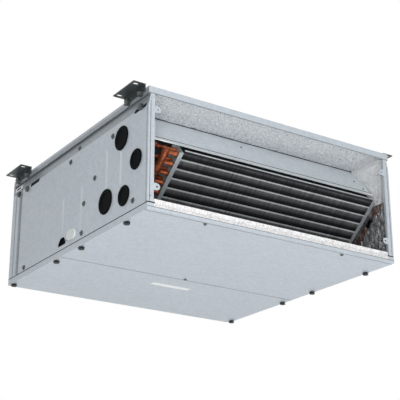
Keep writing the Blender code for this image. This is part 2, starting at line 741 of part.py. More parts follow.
def make_coil_fins(bores):
    """A comb of fins at a coarse pitch, grooved on both faces, with a hole for each tube."""
    count = int((FINS_TO - FINS_FROM) / FIN_PITCH)
    step = (FINS_TO - FINS_FROM) / (count + 0.5)
    near = []
    for number in range(count + 1):
        start = FINS_FROM + number * step
        near += [(start, 0), (start + step / 2, 0)]
        if number < count:
            near += [(start + step / 2, FIN_GROOVE), (start + step, FIN_GROOVE)]
    far = [(across, COIL_THICKNESS - inward) for across, inward in reversed(near)]
    comb = plate_mesh("coil_fins", [near + far], -COIL_HEIGHT, 0, COMB)
    cut(new_object("coil_fins", comb, FINS), bores)


def make_end_plate(side, bores):
    """A channel beside the fins, its flanges turned away from them, standing on the drain pan's floor."""
    foot = (COIL_CORNER[1] - PAN_FLOOR - SHEET - GAP) / math.cos(COIL_TILT)
    depth = END_PLATE_FLANGE + END_PLATE_SHEET
    if side == "left":
        web = COIL_LEFT + depth
        path = [(COIL_LEFT, 0), (web, 0), (web, COIL_THICKNESS), (COIL_LEFT, COIL_THICKNESS)]
    else:
        web = COIL_RIGHT - depth
        path = [(COIL_RIGHT, COIL_THICKNESS), (web, COIL_THICKNESS), (web, 0), (COIL_RIGHT, 0)]
    plate = ribbon("coil_end_plate_" + side, path, -foot, 0, COMB, GALVANISED, END_PLATE_SHEET)
    cut(plate, bores)


def bend(first, second, edge, way):
    """Half a turn between two tube rows, standing out from an edge, as points between the runs."""
    start = Vector((edge, *first))
    end = Vector((edge, *second))
    middle = (start + end) / 2
    arm = start - middle
    out = Vector((way * arm.length, 0, 0))
    turns = [math.pi * i / BEND_STEPS for i in range(BEND_STEPS + 1)]
    return [middle + arm * math.cos(t) + out * math.sin(t) for t in turns]


def make_coil_tubes():
    """A hairpin for each level: out through the front row, round at the right, back through the rear."""
    turn = COIL_RIGHT - END_PLATE_FLANGE + BEND_START
    for number in range(TUBES_PER_ROW):
        row = tube_row(number)
        points = [Vector((COIL_LEFT, row, COIL_FRONT_ROW))]
        points += bend((row, COIL_FRONT_ROW), (row, COIL_REAR_ROW), turn, 1)
        points.append(Vector((COIL_LEFT, row, COIL_REAR_ROW)))
        name = "coil_tube_" + str(number + 1)
        smooth(new_object(name, tube_mesh(name, points, TUBE_DIAMETER, COIL), COPPER), 50)


def behind(plug):
    """Down and into the coil's frame of the point behind a plug's centre."""
    back = PLUGS[plug]["place"][0] - COIL_CORNER[0]
    up = PLUGS[plug]["place"][1] - COIL_CORNER[1]
    return (back * math.sin(COIL_TILT) - up * math.cos(COIL_TILT),
            back * math.cos(COIL_TILT) + up * math.sin(COIL_TILT))


def make_header(name, across, inward, branch):
    """A pipe down the coil's end with a stub to each tube of one row, and a branch to behind its plug."""
    ends = [Vector((across, tube_row(number) + way * HEADER_END, inward))
            for number, way in ((0, -1), (TUBES_PER_ROW - 1, 1))]
    header = new_object(name, tube_mesh(name, ends, HEADER_DIAMETER, COIL), COPPER)
    stub = COIL_LEFT - GAP - across
    bm = bmesh.new()
    for number in range(TUBES_PER_ROW):
        cylinder_into(bm, (across + stub / 2, tube_row(number), inward), (1, 0, 0), TUBE_DIAMETER / 2,
                      stub, 10, COIL)
    join(header, new_object(name + "_stubs", mesh_of(bm, "stubs")))
    pipe = tube_mesh("branch", softened(branch, HEADER_BEND), HEADER_DIAMETER, COIL)
    join(header, new_object(name + "_branch", pipe))


def make_headers():
    down, inward = behind("supply")
    near, far = (SUPPLY_HEADER_ACROSS - jog for jog in HEADER_JOG)
    make_header("supply_header", SUPPLY_HEADER_ACROSS, COIL_FRONT_ROW,
                [(SUPPLY_HEADER_ACROSS, down, COIL_FRONT_ROW), (near, down, COIL_FRONT_ROW),
                 (far, down, inward), (PIPE_END_SPACE, down, inward)])
    down, inward = behind("return")
    make_header("return_header", RETURN_HEADER_ACROSS, COIL_REAR_ROW,
                [(RETURN_HEADER_ACROSS, down, COIL_REAR_ROW), (RETURN_HEADER_ACROSS, down, inward),
                 (PIPE_END_SPACE, down, inward)])


def make_baffle():
    """A sheet from the coil's top to the ceiling, with a hem at its foot and a flange at its head."""
    clear = -GAP
    hem = clear - 3 * SHEET
    head_up = SIDE_HEAD - SHEET
    foot_up = coil_place(clear, 0)[1]
    reach = (head_up - foot_up) / math.sin(COIL_TILT)
    head = coil_place(clear, reach)
    path = [coil_place(hem, BAFFLE_START + BAFFLE_HEM), coil_place(hem, BAFFLE_START),
            coil_place(clear, BAFFLE_START), head, (head[0] + BAFFLE_FLANGE, head[1])]
    side = SHEET + JOGGLE_IN + 2 * GAP
    ribbon("baffle_plate", path, side, CASE_WIDTH - side, SIDE, GALVANISED)


def scroll_outline(inset, front):
    """The scroll's side view: a growing spiral from the tongue round to the top, then the outlet."""
    low = OUTLET_LOW + inset
    tongue = math.pi - math.asin((low - FAN_AXIS[1]) / (SCROLL_START - inset))
    finish = 2.5 * math.pi
    outline = []
    for i in range(SCROLL_STEPS + 1):
        angle = tongue + (finish - tongue) * i / SCROLL_STEPS
        radius = SCROLL_START + SCROLL_GROWTH * i / SCROLL_STEPS - inset
        outline.append((FAN_AXIS[0] + radius * math.cos(angle), FAN_AXIS[1] + radius * math.sin(angle)))
    return outline + [(front, SCROLL_HEAD - inset), (front, low)]


def make_blower_housing(side, centre):
    """A scroll-shaped wrap, open to the deck, between two cheeks with a round inlet each."""
    name = "blower_housing_" + side
    half = SCROLL_WIDTH / 2
    inside = half - SCROLL_SHEET
    front = DECK_REAR + GAP
    wrap = plate_mesh(name, [scroll_outline(0, front)], centre - inside + GAP, centre + inside - GAP, SIDE)
    housing = new_object(name, wrap, GALVANISED)
    hollow = scroll_outline(SCROLL_SHEET, front - SHEET)
    space = plate_mesh("space", [hollow], centre - half, centre + half, SIDE)
    cut(housing, new_object(name + "_space", space))
    smooth(housing, 25)
    inlet = circle(FAN_AXIS, INLET_RADIUS, 32)
    ends = ("outer", "inner") if side == "left" else ("inner", "outer")
    for end, low in zip(ends, (centre - half, centre + inside)):
        cheek = "blower_cheek_" + side + "_" + end
        mesh = plate_mesh(cheek, [scroll_outline(0, front), inlet], low, low + SCROLL_SHEET, SIDE)
        new_object(cheek, mesh, GALVANISED)


def make_wheel(side, centre):
    """A cage of forward-leaning blades between two rings, carried at its middle by a hub disc."""
    name = "impeller_" + side
    inner = WHEEL_RADIUS - BLADE_DEPTH
    width = WHEEL_WIDTH / 2
    disc = WHEEL_DISC / 2
    seat = place(centre, *FAN_AXIS)
    profile = [(inner, -width), (WHEEL_RADIUS, -width), (WHEEL_RADIUS, width), (inner, width)]
    wheel = turned(name, profile, seat, (1, 0, 0), BLACK_PLASTIC, 2 * BLADES)
    bm = bmesh.new()
    mean = WHEEL_RADIUS - BLADE_DEPTH / 2
    length = width - WHEEL_RING - disc - WHEEL_RING
    middle = disc + WHEEL_RING + length / 2
    slot = 2 * math.pi * mean / BLADES * BLADE_GAP_SHARE
    for number in range(BLADES):
        turn = Matrix.Rotation(2 * math.pi * (number + 0.5) / BLADES, 4, "Z")
        for along in (-middle, middle):
            at = turn @ Matrix.Translation((mean, 0, along)) @ Matrix.Rotation(BLADE_LEAN, 4, "Z")
            box_into(bm, (-BLADE_DEPTH, -slot / 2, -length / 2), (BLADE_DEPTH, slot / 2, length / 2), at)
    gaps = new_object(name + "_gaps", mesh_of(bm, "gaps"))
    gaps.location = wheel.location
    gaps.rotation_mode = "QUATERNION"
    gaps.rotation_quaternion = wheel.rotation_quaternion
    cut(wheel, gaps)
    bore = SHAFT_RADIUS + SHAFT_FIT
    hub = HUB_WIDTH / 2
    rim = inner * math.cos(math.pi / (2 * BLADES)) - GAP
    upper = [(bore, hub), (HUB_RADIUS, hub), (HUB_RADIUS, disc), (rim, disc)]
    profile = upper + [(radius, -along) for radius, along in reversed(upper)]
    turned("impeller_hub_" + side, profile, seat, (1, 0, 0), BLACK_PLASTIC, 2 * BLADES)


def make_shaft():
    low = SCROLL_CENTRES[0] - HUB_WIDTH / 2 - SHAFT_OVERHANG
    high = SCROLL_CENTRES[1] + HUB_WIDTH / 2 + SHAFT_OVERHANG
    bm = bmesh.new()
    middle = ((low + high) / 2, *FAN_AXIS)
    cylinder_into(bm, middle, (1, 0, 0), SHAFT_RADIUS, high - low, 2 * BLADES)
    shaft = new_object("fan_shaft", mesh_of(bm, "fan_shaft"), STEEL)
    smooth(shaft)
    move_origin(shaft, place(*middle))


def make_motor():
    """A double-shafted motor with a stepped body and end bosses."""
    radius = MOTOR_DIAMETER / 2
    half = MOTOR_LENGTH / 2
    end = half + MOTOR_BOSS_LENGTH
    bore = SHAFT_RADIUS + SHAFT_FIT
    step = radius - MOTOR_STEP
    band = half * MOTOR_BAND_SHARE
    upper = [(bore, end), (MOTOR_BOSS, end), (MOTOR_BOSS, half), (step, half), (step, band), (radius, band)]
    profile = upper + [(out, -along) for out, along in reversed(upper)]
    middle = sum(SCROLL_CENTRES) / 2
    smooth(turned("fan_motor", profile, place(middle, *FAN_AXIS), (1, 0, 0), PAINTED_GREY))


def make_motor_cradle():
    """A bent shelf from the fan deck to under the motor."""
    sheet = 2 * SHEET
    middle = sum(SCROLL_CENTRES) / 2
    shelf = FAN_AXIS[1] - MOTOR_DIAMETER / 2 - GAP - sheet
    front = DECK_REAR + GAP + sheet
    rear = FAN_AXIS[0] + CRADLE_WIDTH / 2
    path = [(front, shelf - CRADLE_FLANGE), (front, shelf), (rear, shelf), (rear, shelf - CRADLE_FLANGE / 2)]
    low = middle - CRADLE_WIDTH / 2
    ribbon("motor_cradle", path, low, low + CRADLE_WIDTH, SIDE, GALVANISED, sheet)


def make_capacitor():
    radius = CAPACITOR_DIAMETER / 2
    profile = [(0, CAPACITOR_LENGTH), (radius - CAPACITOR_EASE, CAPACITOR_LENGTH),
               (radius, CAPACITOR_LENGTH - CAPACITOR_EASE), (radius, 0), (0, 0)]
    across = sum(SCROLL_CENTRES) / 2 - CRADLE_WIDTH / 2 - radius - CAPACITOR_SPACE
    seat = place(across, DECK_REAR + GAP, FAN_AXIS[1] - MOTOR_DIAMETER / 2 - CAPACITOR_DIAMETER)
    smooth(turned("capacitor", profile, seat, (0, 1, 0), PAINTED_GREY, 20))


def make_terminal_box():
    depth, length, height = TERMINAL_BOX
    back, up = TERMINAL_BOX_PLACE
    outer = CASE_WIDTH - SHEET - GAP
    box = plain_box("terminal_box", (outer - depth, back - length / 2, up - height / 2),
                    (outer, back + length / 2, up + height / 2), PAINTED_GREY)
    edges = box.modifiers.new("Edges", "BEVEL")
    edges.width = TERMINAL_BOX_EDGE
    edges.segments = 2


def make_plug(name, centre, diameter):
    """A rubber plug: a round rim outside the wall, a neck in its hole and a thin middle."""
    radius = diameter / 2
    neck = radius - PLUG_OVERLAP - GAP
    skin = PLUG_RIM / 2
    dish, bead = (radius * share for share in PLUG_DISH)
    profile = [(0, skin), (dish, skin), (bead, PLUG_RIM), (radius - PLUG_EASE, PLUG_RIM),
               (radius, PLUG_RIM - PLUG_EASE), (radius, GAP), (neck, GAP), (neck, -PLUG_NECK),
               (neck - PLUG_WALL, -PLUG_NECK), (neck - PLUG_WALL, 0), (0, 0)]
    smooth(turned("plug_" + name, profile, place(0, *centre), (-1, 0, 0), BLACK_RUBBER))


def make_drain_cap():
    outline = obround(CAP_PLACE, CAP_LENGTH, CAP_HEIGHT, 10)
    mesh = plate_mesh("drain_cap", [outline], -GAP - CAP_THICKNESS, -GAP, SIDE)
    new_object("drain_cap", mesh, PALE_PLASTIC)


def make_bracket(end, side):
    """An angle with two slots in its plate and two ears on its leg, flat against the casing's side."""
    name = "hanger_bracket_" + end + "_" + side
    start = BRACKET_INSET if end == "front" else CASE_DEPTH - BRACKET_INSET - BRACKET_LENGTH
    finish = start + BRACKET_LENGTH
    middle = (start + finish) / 2
    head = CASE_HEIGHT + BRACKET_RISE
    foot = head - BRACKET_LEG
    ear_centre = CASE_HEIGHT - EAR_DROP + EAR_RADIUS
    angle = [(-GAP, ear_centre - EAR_RADIUS), (-GAP, head), (-BRACKET_REACH, head)]
    bracket = ribbon(name, angle, -finish, -start, FRONT, DARK_ZINC, BRACKET_SHEET)
    if side == "right":
        bracket.data = mirrored(bracket.data)
    meeting = math.degrees(math.asin((ear_centre - foot) / EAR_RADIUS))
    trim = [(start - SHEET, ear_centre - 2 * EAR_RADIUS), (finish + SHEET, ear_centre - 2 * EAR_RADIUS),
            (finish + SHEET, foot)]
    for ear in (middle + EAR_SPACING / 2, middle - EAR_SPACING / 2):
        trim += arc((ear, ear_centre), EAR_RADIUS, -meeting, meeting - 180, 8)
    trim.append((start - SHEET, foot))
    reach = 2 * BRACKET_SHEET
    below = plate_mesh("trim", [trim], -reach, reach, SIDE)
    cut(bracket, new_object(name + "_trim", on_side(below, side)))
    slots = [obround((-SLOT_OUT, middle + way * SLOT_SPACING / 2), SLOT_LENGTH, SLOT_WIDTH)
             for way in (-1, 1)]
    holes = plate_mesh("slots", slots, head - reach, head + reach, PLAN)
    cut(bracket, new_object(name + "_slots", on_side(holes, side)))


def build():
    make_top_panel()
    for side in ("left", "right"):
        make_side_panel(side)
    make_bottom_panel("front", 0, PANEL_SPLIT - PANEL_CLEARANCE)
    make_bottom_panel("rear", PANEL_SPLIT + PANEL_CLEARANCE, CASE_DEPTH)
    for end, places in KNOB_PLACES.items():
        for side in ("left", "right"):
            for number, back in enumerate(places, 1):
                make_knob(end, side, back, number)
    make_rear_frame()
    make_fan_deck()
    make_drain_pan()
    make_drain_spigot()
    make_liner()
    bores = make_tube_bores()
    make_coil_fins(bores)
    for side in ("left", "right"):
        make_end_plate(side, bores)
    make_coil_tubes()
    make_headers()
    make_baffle()
    for side, centre in zip(("left", "right"), SCROLL_CENTRES):
        make_blower_housing(side, centre)
        make_wheel(side, centre)
    make_shaft()
    make_motor()
    make_motor_cradle()
    make_capacitor()
    make_terminal_box()
    for name, plug in PLUGS.items():
        make_plug(name, plug["place"], plug["diameter"])
    make_drain_cap()
    for end in ("front", "rear"):
        for side in ("left", "right"):
            make_bracket(end, side)


build()
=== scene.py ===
import math
import random

import bmesh
import bpy
from mathutils import Matrix, Vector


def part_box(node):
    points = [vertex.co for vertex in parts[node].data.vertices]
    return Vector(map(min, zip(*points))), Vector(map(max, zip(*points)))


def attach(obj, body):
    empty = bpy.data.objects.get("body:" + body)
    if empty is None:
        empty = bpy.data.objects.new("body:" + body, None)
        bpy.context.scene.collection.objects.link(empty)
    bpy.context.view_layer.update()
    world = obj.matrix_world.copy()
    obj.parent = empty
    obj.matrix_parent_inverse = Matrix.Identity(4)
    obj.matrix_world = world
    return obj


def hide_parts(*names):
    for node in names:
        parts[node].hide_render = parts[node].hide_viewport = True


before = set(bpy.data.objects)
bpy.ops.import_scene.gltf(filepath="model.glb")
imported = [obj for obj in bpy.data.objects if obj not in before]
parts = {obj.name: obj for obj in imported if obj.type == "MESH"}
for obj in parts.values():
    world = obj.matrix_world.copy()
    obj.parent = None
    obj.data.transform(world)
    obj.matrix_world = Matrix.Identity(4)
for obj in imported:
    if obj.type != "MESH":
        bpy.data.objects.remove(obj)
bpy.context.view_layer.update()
print("fan coil unit: frame loaded,", len(parts), "parts")

# The casing's corner and size come from its own sheets.
topLow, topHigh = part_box("top_panel")
footLow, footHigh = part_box("bottom_front_panel")
casingCorner = Vector((topLow.x, topLow.y, footLow.z))
caseWidth = topHigh.x - topLow.x
caseDepth = topHigh.y - topLow.y
caseHeight = topHigh.z - footLow.z
mm = 0.001


# Across from the left side, back from the front, up from the underside, in millimetres.
def spot(across, back, up):
    return casingCorner + Vector((across, back, up)) * mm


coil = {
    "tilt": 50,            # degrees from upright, its foot to the rear
    "back": 34, "up": 167,  # top front corner
    "tubePitch": 25.4,
    "rowPitch": 22,
    "tubes": 9,
    "tube": 9.5,
}


def coilSpot(across, down, inward):
    # down along the coil's face and into its depth
    tilt = math.radians(coil["tilt"])
    back = coil["back"] + down * math.sin(tilt) + inward * math.cos(tilt)
    up = coil["up"] - down * math.cos(tilt) + inward * math.sin(tilt)
    return spot(across, back, up)


coilDown = (coilSpot(0, 1, 0) - coilSpot(0, 0, 0)).normalized()
coilIn = (coilSpot(0, 0, 1) - coilSpot(0, 0, 0)).normalized()


# Shader nodes

def addNode(tree, kind, values=None, **settings):
    node = tree.nodes.new(kind)
    for key, value in settings.items():
        setattr(node, key, value)
    for key, value in (values or {}).items():
        if isinstance(value, bpy.types.NodeSocket):
            tree.links.new(value, node.inputs[key])
        else:
            node.inputs[key].default_value = value
    return node


def newGroup(name, inputs, outputs):
    tree = bpy.data.node_groups.new(name, "ShaderNodeTree")
    for label, kind, value in inputs:
        socket = tree.interface.new_socket(name=label, in_out="INPUT", socket_type=kind)
        if value is not None:
            socket.default_value = value
    for label in outputs:
        tree.interface.new_socket(name=label, in_out="OUTPUT", socket_type="NodeSocketFloat")
    return tree, tree.nodes.new("NodeGroupInput").outputs, tree.nodes.new("NodeGroupOutput").inputs


def objectPlace(tree):
    return tree.nodes.new("ShaderNodeTexCoord").outputs["Object"]


def makeSpangle():
    # zinc crystals: each cell has its own tone, with fine grain inside
    tree, given, out = newGroup("zincSpangle", [("Crystals", "NodeSocketFloat", 160.0),
                                                ("Grain", "NodeSocketFloat", 0.3)], ["Tone", "Height"])
    place = objectPlace(tree)
    warp = addNode(tree, "ShaderNodeTexNoise", {"Vector": place, "Scale": 90.0, "Detail": 2.0})
    shift = addNode(tree, "ShaderNodeVectorMath", {0: warp.outputs["Color"], "Scale": 0.006}, operation="SCALE")
    warped = addNode(tree, "ShaderNodeVectorMath", {0: place, 1: shift.outputs[0]}, operation="ADD")
    cells = addNode(tree, "ShaderNodeTexVoronoi", {"Vector": warped.outputs[0], "Scale": given["Crystals"]})
    tone = addNode(tree, "ShaderNodeSeparateColor", {"Color": cells.outputs["Color"]})
    fine = addNode(tree, "ShaderNodeTexNoise", {"Vector": place, "Scale": 1400.0, "Detail": 3.0})
    mixed = addNode(tree, "ShaderNodeMix", {"Factor": given["Grain"], "A": tone.outputs["Red"],
                                            "B": fine.outputs["Fac"]})
    tree.links.new(mixed.outputs["Result"], out["Tone"])
    tree.links.new(tone.outputs["Green"], out["Height"])
    return tree


def makeEdgeWear():
    # bright where an edge is rubbed: how far a rounded normal leaves the true one
    tree, given, out = newGroup("edgeWear", [("Width", "NodeSocketFloat", 0.0012),
                                             ("Amount", "NodeSocketFloat", 1.0)], ["Mask"])
    rounded = addNode(tree, "ShaderNodeBevel", {"Radius": given["Width"]}, samples=4)
    true = tree.nodes.new("ShaderNodeNewGeometry").outputs["Normal"]
    match = addNode(tree, "ShaderNodeVectorMath", {0: rounded.outputs[0], 1: true}, operation="DOT_PRODUCT")
    turn = addNode(tree, "ShaderNodeMapRange", {"Value": match.outputs["Value"], "From Min": 0.995,
                                                "From Max": 0.80})
    patchy = addNode(tree, "ShaderNodeTexNoise", {"Vector": objectPlace(tree), "Scale": 60.0, "Detail": 4.0})
    broken = addNode(tree, "ShaderNodeMapRange", {"Value": patchy.outputs["Fac"], "From Min": 0.35,
                                                  "From Max": 0.6, "To Min": 0.35})
    mask = addNode(tree, "ShaderNodeMath", {0: turn.outputs[0], 1: broken.outputs[0]}, operation="MULTIPLY")
    scaled = addNode(tree, "ShaderNodeMath", {0: mask.outputs[0], 1: given["Amount"]}, operation="MULTIPLY")
    tree.links.new(scaled.outputs[0], out["Mask"])
    return tree


def makeHandling():
    # broad cloudy marks and a few wiped streaks, as on sheet that has been handled
    tree, given, out = newGroup("handlingMarks", [("Size", "NodeSocketFloat", 6.0)], ["Tone"])
    place = objectPlace(tree)
    broad = addNode(tree, "ShaderNodeTexNoise", {"Vector": place, "Scale": given["Size"], "Detail": 5.0,
                                                 "Roughness": 0.6})
    stretch = addNode(tree, "ShaderNodeMapping", {"Vector": place, "Scale": (3.0, 14.0, 40.0)})
    streaks = addNode(tree, "ShaderNodeTexNoise", {"Vector": stretch.outputs[0], "Scale": given["Size"],
                                                   "Detail": 3.0})
    mixed = addNode(tree, "ShaderNodeMix", {"Factor": 0.35, "A": broad.outputs["Fac"], "B": streaks.outputs["Fac"]})
    tree.links.new(mixed.outputs["Result"], out["Tone"])
    return tree


def makeCrinkle():
    # creased foil: sharp ridges between facets of several sizes
    tree, given, out = newGroup("foilCrinkle", [("Facets", "NodeSocketFloat", 120.0),
                                                ("Stretch", "NodeSocketVector", (1.0, 1.0, 1.0))],
                                ["Tone", "Height"])
    place = addNode(tree, "ShaderNodeVectorMath", {0: objectPlace(tree), 1: given["Stretch"]},
                    operation="MULTIPLY").outputs[0]
    warp = addNode(tree, "ShaderNodeTexNoise", {"Vector": place, "Scale": 70.0, "Detail": 3.0})
    shift = addNode(tree, "ShaderNodeVectorMath", {0: warp.outputs["Color"], "Scale": 0.02}, operation="SCALE")
    warped = addNode(tree, "ShaderNodeVectorMath", {0: place, 1: shift.outputs[0]}, operation="ADD")
    large = addNode(tree, "ShaderNodeTexVoronoi", {"Vector": warped.outputs[0], "Scale": given["Facets"]},
                    feature="DISTANCE_TO_EDGE")
    double = addNode(tree, "ShaderNodeMath", {0: given["Facets"], 1: 2.3}, operation="MULTIPLY")
    small = addNode(tree, "ShaderNodeTexVoronoi", {"Vector": warped.outputs[0], "Scale": double.outputs[0]})
    tone = addNode(tree, "ShaderNodeSeparateColor", {"Color": small.outputs["Color"]})
    height = addNode(tree, "ShaderNodeMath", {0: large.outputs["Distance"], 1: small.outputs["Distance"]},
                     operation="ADD")
    tree.links.new(tone.outputs["Red"], out["Tone"])
    tree.links.new(height.outputs[0], out["Height"])
    return tree


def makeGrain():
    # moulded or cast surfaces: fine even grain
    tree, given, out = newGroup("mouldGrain", [("Scale", "NodeSocketFloat", 900.0)], ["Tone", "Height"])
    fine = addNode(tree, "ShaderNodeTexNoise", {"Vector": objectPlace(tree), "Scale": given["Scale"],
                                                "Detail": 4.0})
    tree.links.new(fine.outputs["Fac"], out["Tone"])
    tree.links.new(fine.outputs["Fac"], out["Height"])
    return tree


foldShadeAndTape = {
    # painted fold shade and tape bands, in millimetres on the casing: heights, and distances from its sides, front or
    # back
    "joggle": (248.5, 250.5, 283.5), "flange": (283.5, 292), "flangeLines": ((275.0, 276.6), (283.2, 284.4)),
    "sideDepth": 9,
    "post": (4.6, 6.2), "postHeight": (19, 258), "frontDepth": 0.6, "corner": (5, 8),
    "lipLine": (6.9, 8.2), "underLine": (7.3, 9.9), "tape": (8.2, 15), "tapeInset": (17, 18),
    "groove": (650, 667), "rearLine": (684, 686),
}


def makeFoldShade():
    # painted shade where the casing's sheets are folded: the joggle under the flange, the posts' folds, the rear
    # groove;
    # and a mask for where the pan's facing is taped over the lower front lip
    tree, given, out = newGroup("foldShadeAndTape", [("Joggle", "NodeSocketFloat", 0.4), ("Flange", "NodeSocketFloat", 0.12),
                                               ("Lines", "NodeSocketFloat", 0.85), ("Groove", "NodeSocketFloat", 0.6)],
                                ["Shade", "Tape"])
    centre = casingCorner + Vector((caseWidth / 2, 0, 0))
    offset = addNode(tree, "ShaderNodeVectorMath", {0: objectPlace(tree), 1: centre}, operation="SUBTRACT")
    axes = addNode(tree, "ShaderNodeSeparateXYZ", {"Vector": offset.outputs[0]}).outputs
    across = addNode(tree, "ShaderNodeMath", {0: axes["X"]}, operation="ABSOLUTE").outputs[0]
    inset = addNode(tree, "ShaderNodeMath", {0: caseWidth / 2, 1: across}, operation="SUBTRACT").outputs[0]

    def step(value, low, high, down=False):
        ends = {"To Min": 1.0, "To Max": 0.0} if down else {}
        return addNode(tree, "ShaderNodeMapRange", {"Value": value, "From Min": low * mm, "From Max": high * mm,
                                                    **ends}).outputs[0]

    def times(first, *others):
        for other in others:
            first = addNode(tree, "ShaderNodeMath", {0: first, 1: other}, operation="MULTIPLY").outputs[0]
        return first

    def band(value, low, high, soft=0.25):
        return times(step(value, low - soft, low + soft), step(value, high - soft, high + soft, True))

    def larger(first, second):
        return addNode(tree, "ShaderNodeMath", {0: first, 1: second}, operation="MAXIMUM").outputs[0]

    # painted shade: bands on the outer sides at the joggle and flange, fold lines at the posts and lip, soft bands at
    # the rear groove
    nearSide = step(inset, foldShadeAndTape["sideDepth"], foldShadeAndTape["sideDepth"] + 1, True)
    normal = addNode(tree, "ShaderNodeSeparateXYZ",
                     {"Vector": tree.nodes.new("ShaderNodeNewGeometry").outputs["Normal"]}).outputs["X"]
    away = addNode(tree, "ShaderNodeMath", {0: normal, 1: axes["X"]}, operation="MULTIPLY").outputs[0]
    outer = times(nearSide, addNode(tree, "ShaderNodeMath", {0: away, 1: 0.0}, operation="GREATER_THAN").outputs[0])
    foot, middle, head = foldShadeAndTape["joggle"]
    joggle = times(step(axes["Z"], foot, middle), step(axes["Z"], head - 0.3, head + 0.3, True), outer,
                   given["Joggle"])
    flange = times(band(axes["Z"], *foldShadeAndTape["flange"]), outer, given["Flange"])
    low, high = (band(axes["Z"], *line) for line in foldShadeAndTape["flangeLines"])
    lines = larger(low, times(high, outer))
    atFront = step(axes["Y"], foldShadeAndTape["frontDepth"], foldShadeAndTape["frontDepth"] + 0.1, True)
    upright = band(axes["Z"], *foldShadeAndTape["postHeight"])
    lines = larger(lines, times(band(inset, *foldShadeAndTape["post"]), upright, atFront))
    lines = larger(lines, times(band(axes["Z"], *foldShadeAndTape["lipLine"]), atFront))
    under = times(band(axes["Y"], *foldShadeAndTape["underLine"]), step(axes["Z"], 0.2, 0.4, True))
    lines = larger(lines, under)
    onSide = times(nearSide, upright)
    soft = larger(band(axes["Y"], *foldShadeAndTape["groove"], 1.5), band(axes["Y"], *foldShadeAndTape["corner"], 2.0))
    soft = times(larger(soft, band(axes["Y"], *foldShadeAndTape["rearLine"], 0.6)), onSide, given["Groove"])
    shade = larger(larger(joggle, flange), larger(soft, times(lines, given["Lines"])))
    tree.links.new(shade, out["Shade"])
    clear = step(inset, *foldShadeAndTape["tapeInset"])
    tree.links.new(times(band(axes["Z"], *foldShadeAndTape["tape"]), atFront, clear), out["Tape"])
    return tree


spangle = makeSpangle()
edgeWear = makeEdgeWear()
handling = makeHandling()
crinkle = makeCrinkle()
grain = makeGrain()
# painted shade along the casing's folds, with the tape mask
folds = makeFoldShade()


def useGroup(tree, group, **values):
    node = tree.nodes.new("ShaderNodeGroup")
    node.node_tree = group
    for key, value in values.items():
        node.inputs[key].default_value = value
    return node.outputs


def newMaterial(name, metallic, roughness):
    look = bpy.data.materials.new(name)
    look.use_nodes = True
    shader = look.node_tree.nodes["Principled BSDF"]
    shader.inputs["Metallic"].default_value = metallic
    shader.inputs["Roughness"].default_value = roughness
    return look, look.node_tree, shader


def mixTones(tree, factor, dark, light):
    node = addNode(tree, "ShaderNodeMix", data_type="RGBA")
    tree.links.new(factor, node.inputs["Factor"])
    for socket, colour in ((node.inputs["A"], dark), (node.inputs["B"], light)):
        if isinstance(colour, bpy.types.NodeSocket):
            tree.links.new(colour, socket)
        else:
            socket.default_value = (*colour, 1.0)
    return node.outputs["Result"]


def addBump(tree, shader, height, distance, strength=1.0):
    bump = addNode(tree, "ShaderNodeBump", {"Height": height, "Distance": distance, "Strength": strength})
    tree.links.new(bump.outputs[0], shader.inputs["Normal"])


def remap(tree, value, low, high):
    return addNode(tree, "ShaderNodeMapRange", {"Value": value, "To Min": low, "To Max": high}).outputs[0]


tapeTones = ((0.52, 0.51, 0.51), (0.86, 0.85, 0.845))


def zincSheet(name, dark, light, metallic=0.55, crystals=160.0, wear=0.8, bump=0.00004, foldShade=None):
    look, tree, shader = newMaterial(name, metallic, 0.4)
    zinc = useGroup(tree, spangle, Crystals=crystals, Grain=0.35)
    marks = useGroup(tree, handling, Size=5.0)
    rubbed = useGroup(tree, edgeWear, Width=0.0012, Amount=wear)
    blend = addNode(tree, "ShaderNodeMix", {"Factor": 0.5, "A": zinc["Tone"], "B": marks["Tone"]}).outputs["Result"]
    sheet = mixTones(tree, blend, dark, light)
    if foldShade:
        # painted shade along the folds, in the fold colour; then the tape's speckle
        foldShading = useGroup(tree, folds)
        sheet = mixTones(tree, foldShading["Shade"], sheet, foldShade)
        speckle = mixTones(tree, useGroup(tree, crinkle, Facets=170.0)["Tone"], *tapeTones)
        sheet = mixTones(tree, foldShading["Tape"], sheet, speckle)
    pale = tuple(min(1.0, 1.12 * value) for value in light)
    tree.links.new(mixTones(tree, rubbed["Mask"], sheet, pale), shader.inputs["Base Color"])
    tree.links.new(remap(tree, blend, 0.5, 0.3), shader.inputs["Roughness"])
    addBump(tree, shader, zinc["Height"], bump, 0.35)
    return look


def grainy(name, dark, light, roughness, metallic=0.0, scale=900.0, depth=0.00006, wear=0.0, shine=0.5):
    look, tree, shader = newMaterial(name, metallic, roughness)
    shader.inputs["Specular IOR Level"].default_value = shine
    skin = useGroup(tree, grain, Scale=scale)
    marks = useGroup(tree, handling, Size=12.0)
    blend = addNode(tree, "ShaderNodeMix", {"Factor": 0.5, "A": skin["Tone"], "B": marks["Tone"]}).outputs["Result"]
    colour = mixTones(tree, blend, dark, light)
    if wear:
        rubbed = useGroup(tree, edgeWear, Width=0.0008, Amount=wear)
        colour = mixTones(tree, rubbed["Mask"], colour, tuple(min(1.0, 3.0 * value + 0.05) for value in light))
    tree.links.new(colour, shader.inputs["Base Color"])
    tree.links.new(remap(tree, blend, roughness + 0.1, roughness - 0.1), shader.inputs["Roughness"])
    addBump(tree, shader, skin["Height"], depth, 0.5)
    return look


def crumpled(name, dark, light, metallic, facets, depth):
    look, tree, shader = newMaterial(name, metallic, 0.4)
    folds = useGroup(tree, crinkle, Facets=facets)
    tree.links.new(mixTones(tree, folds["Tone"], dark, light), shader.inputs["Base Color"])
    tree.links.new(remap(tree, folds["Tone"], 0.25, 0.5), shader.inputs["Roughness"])
    addBump(tree, shader, folds["Height"], depth, 0.8)
    return look


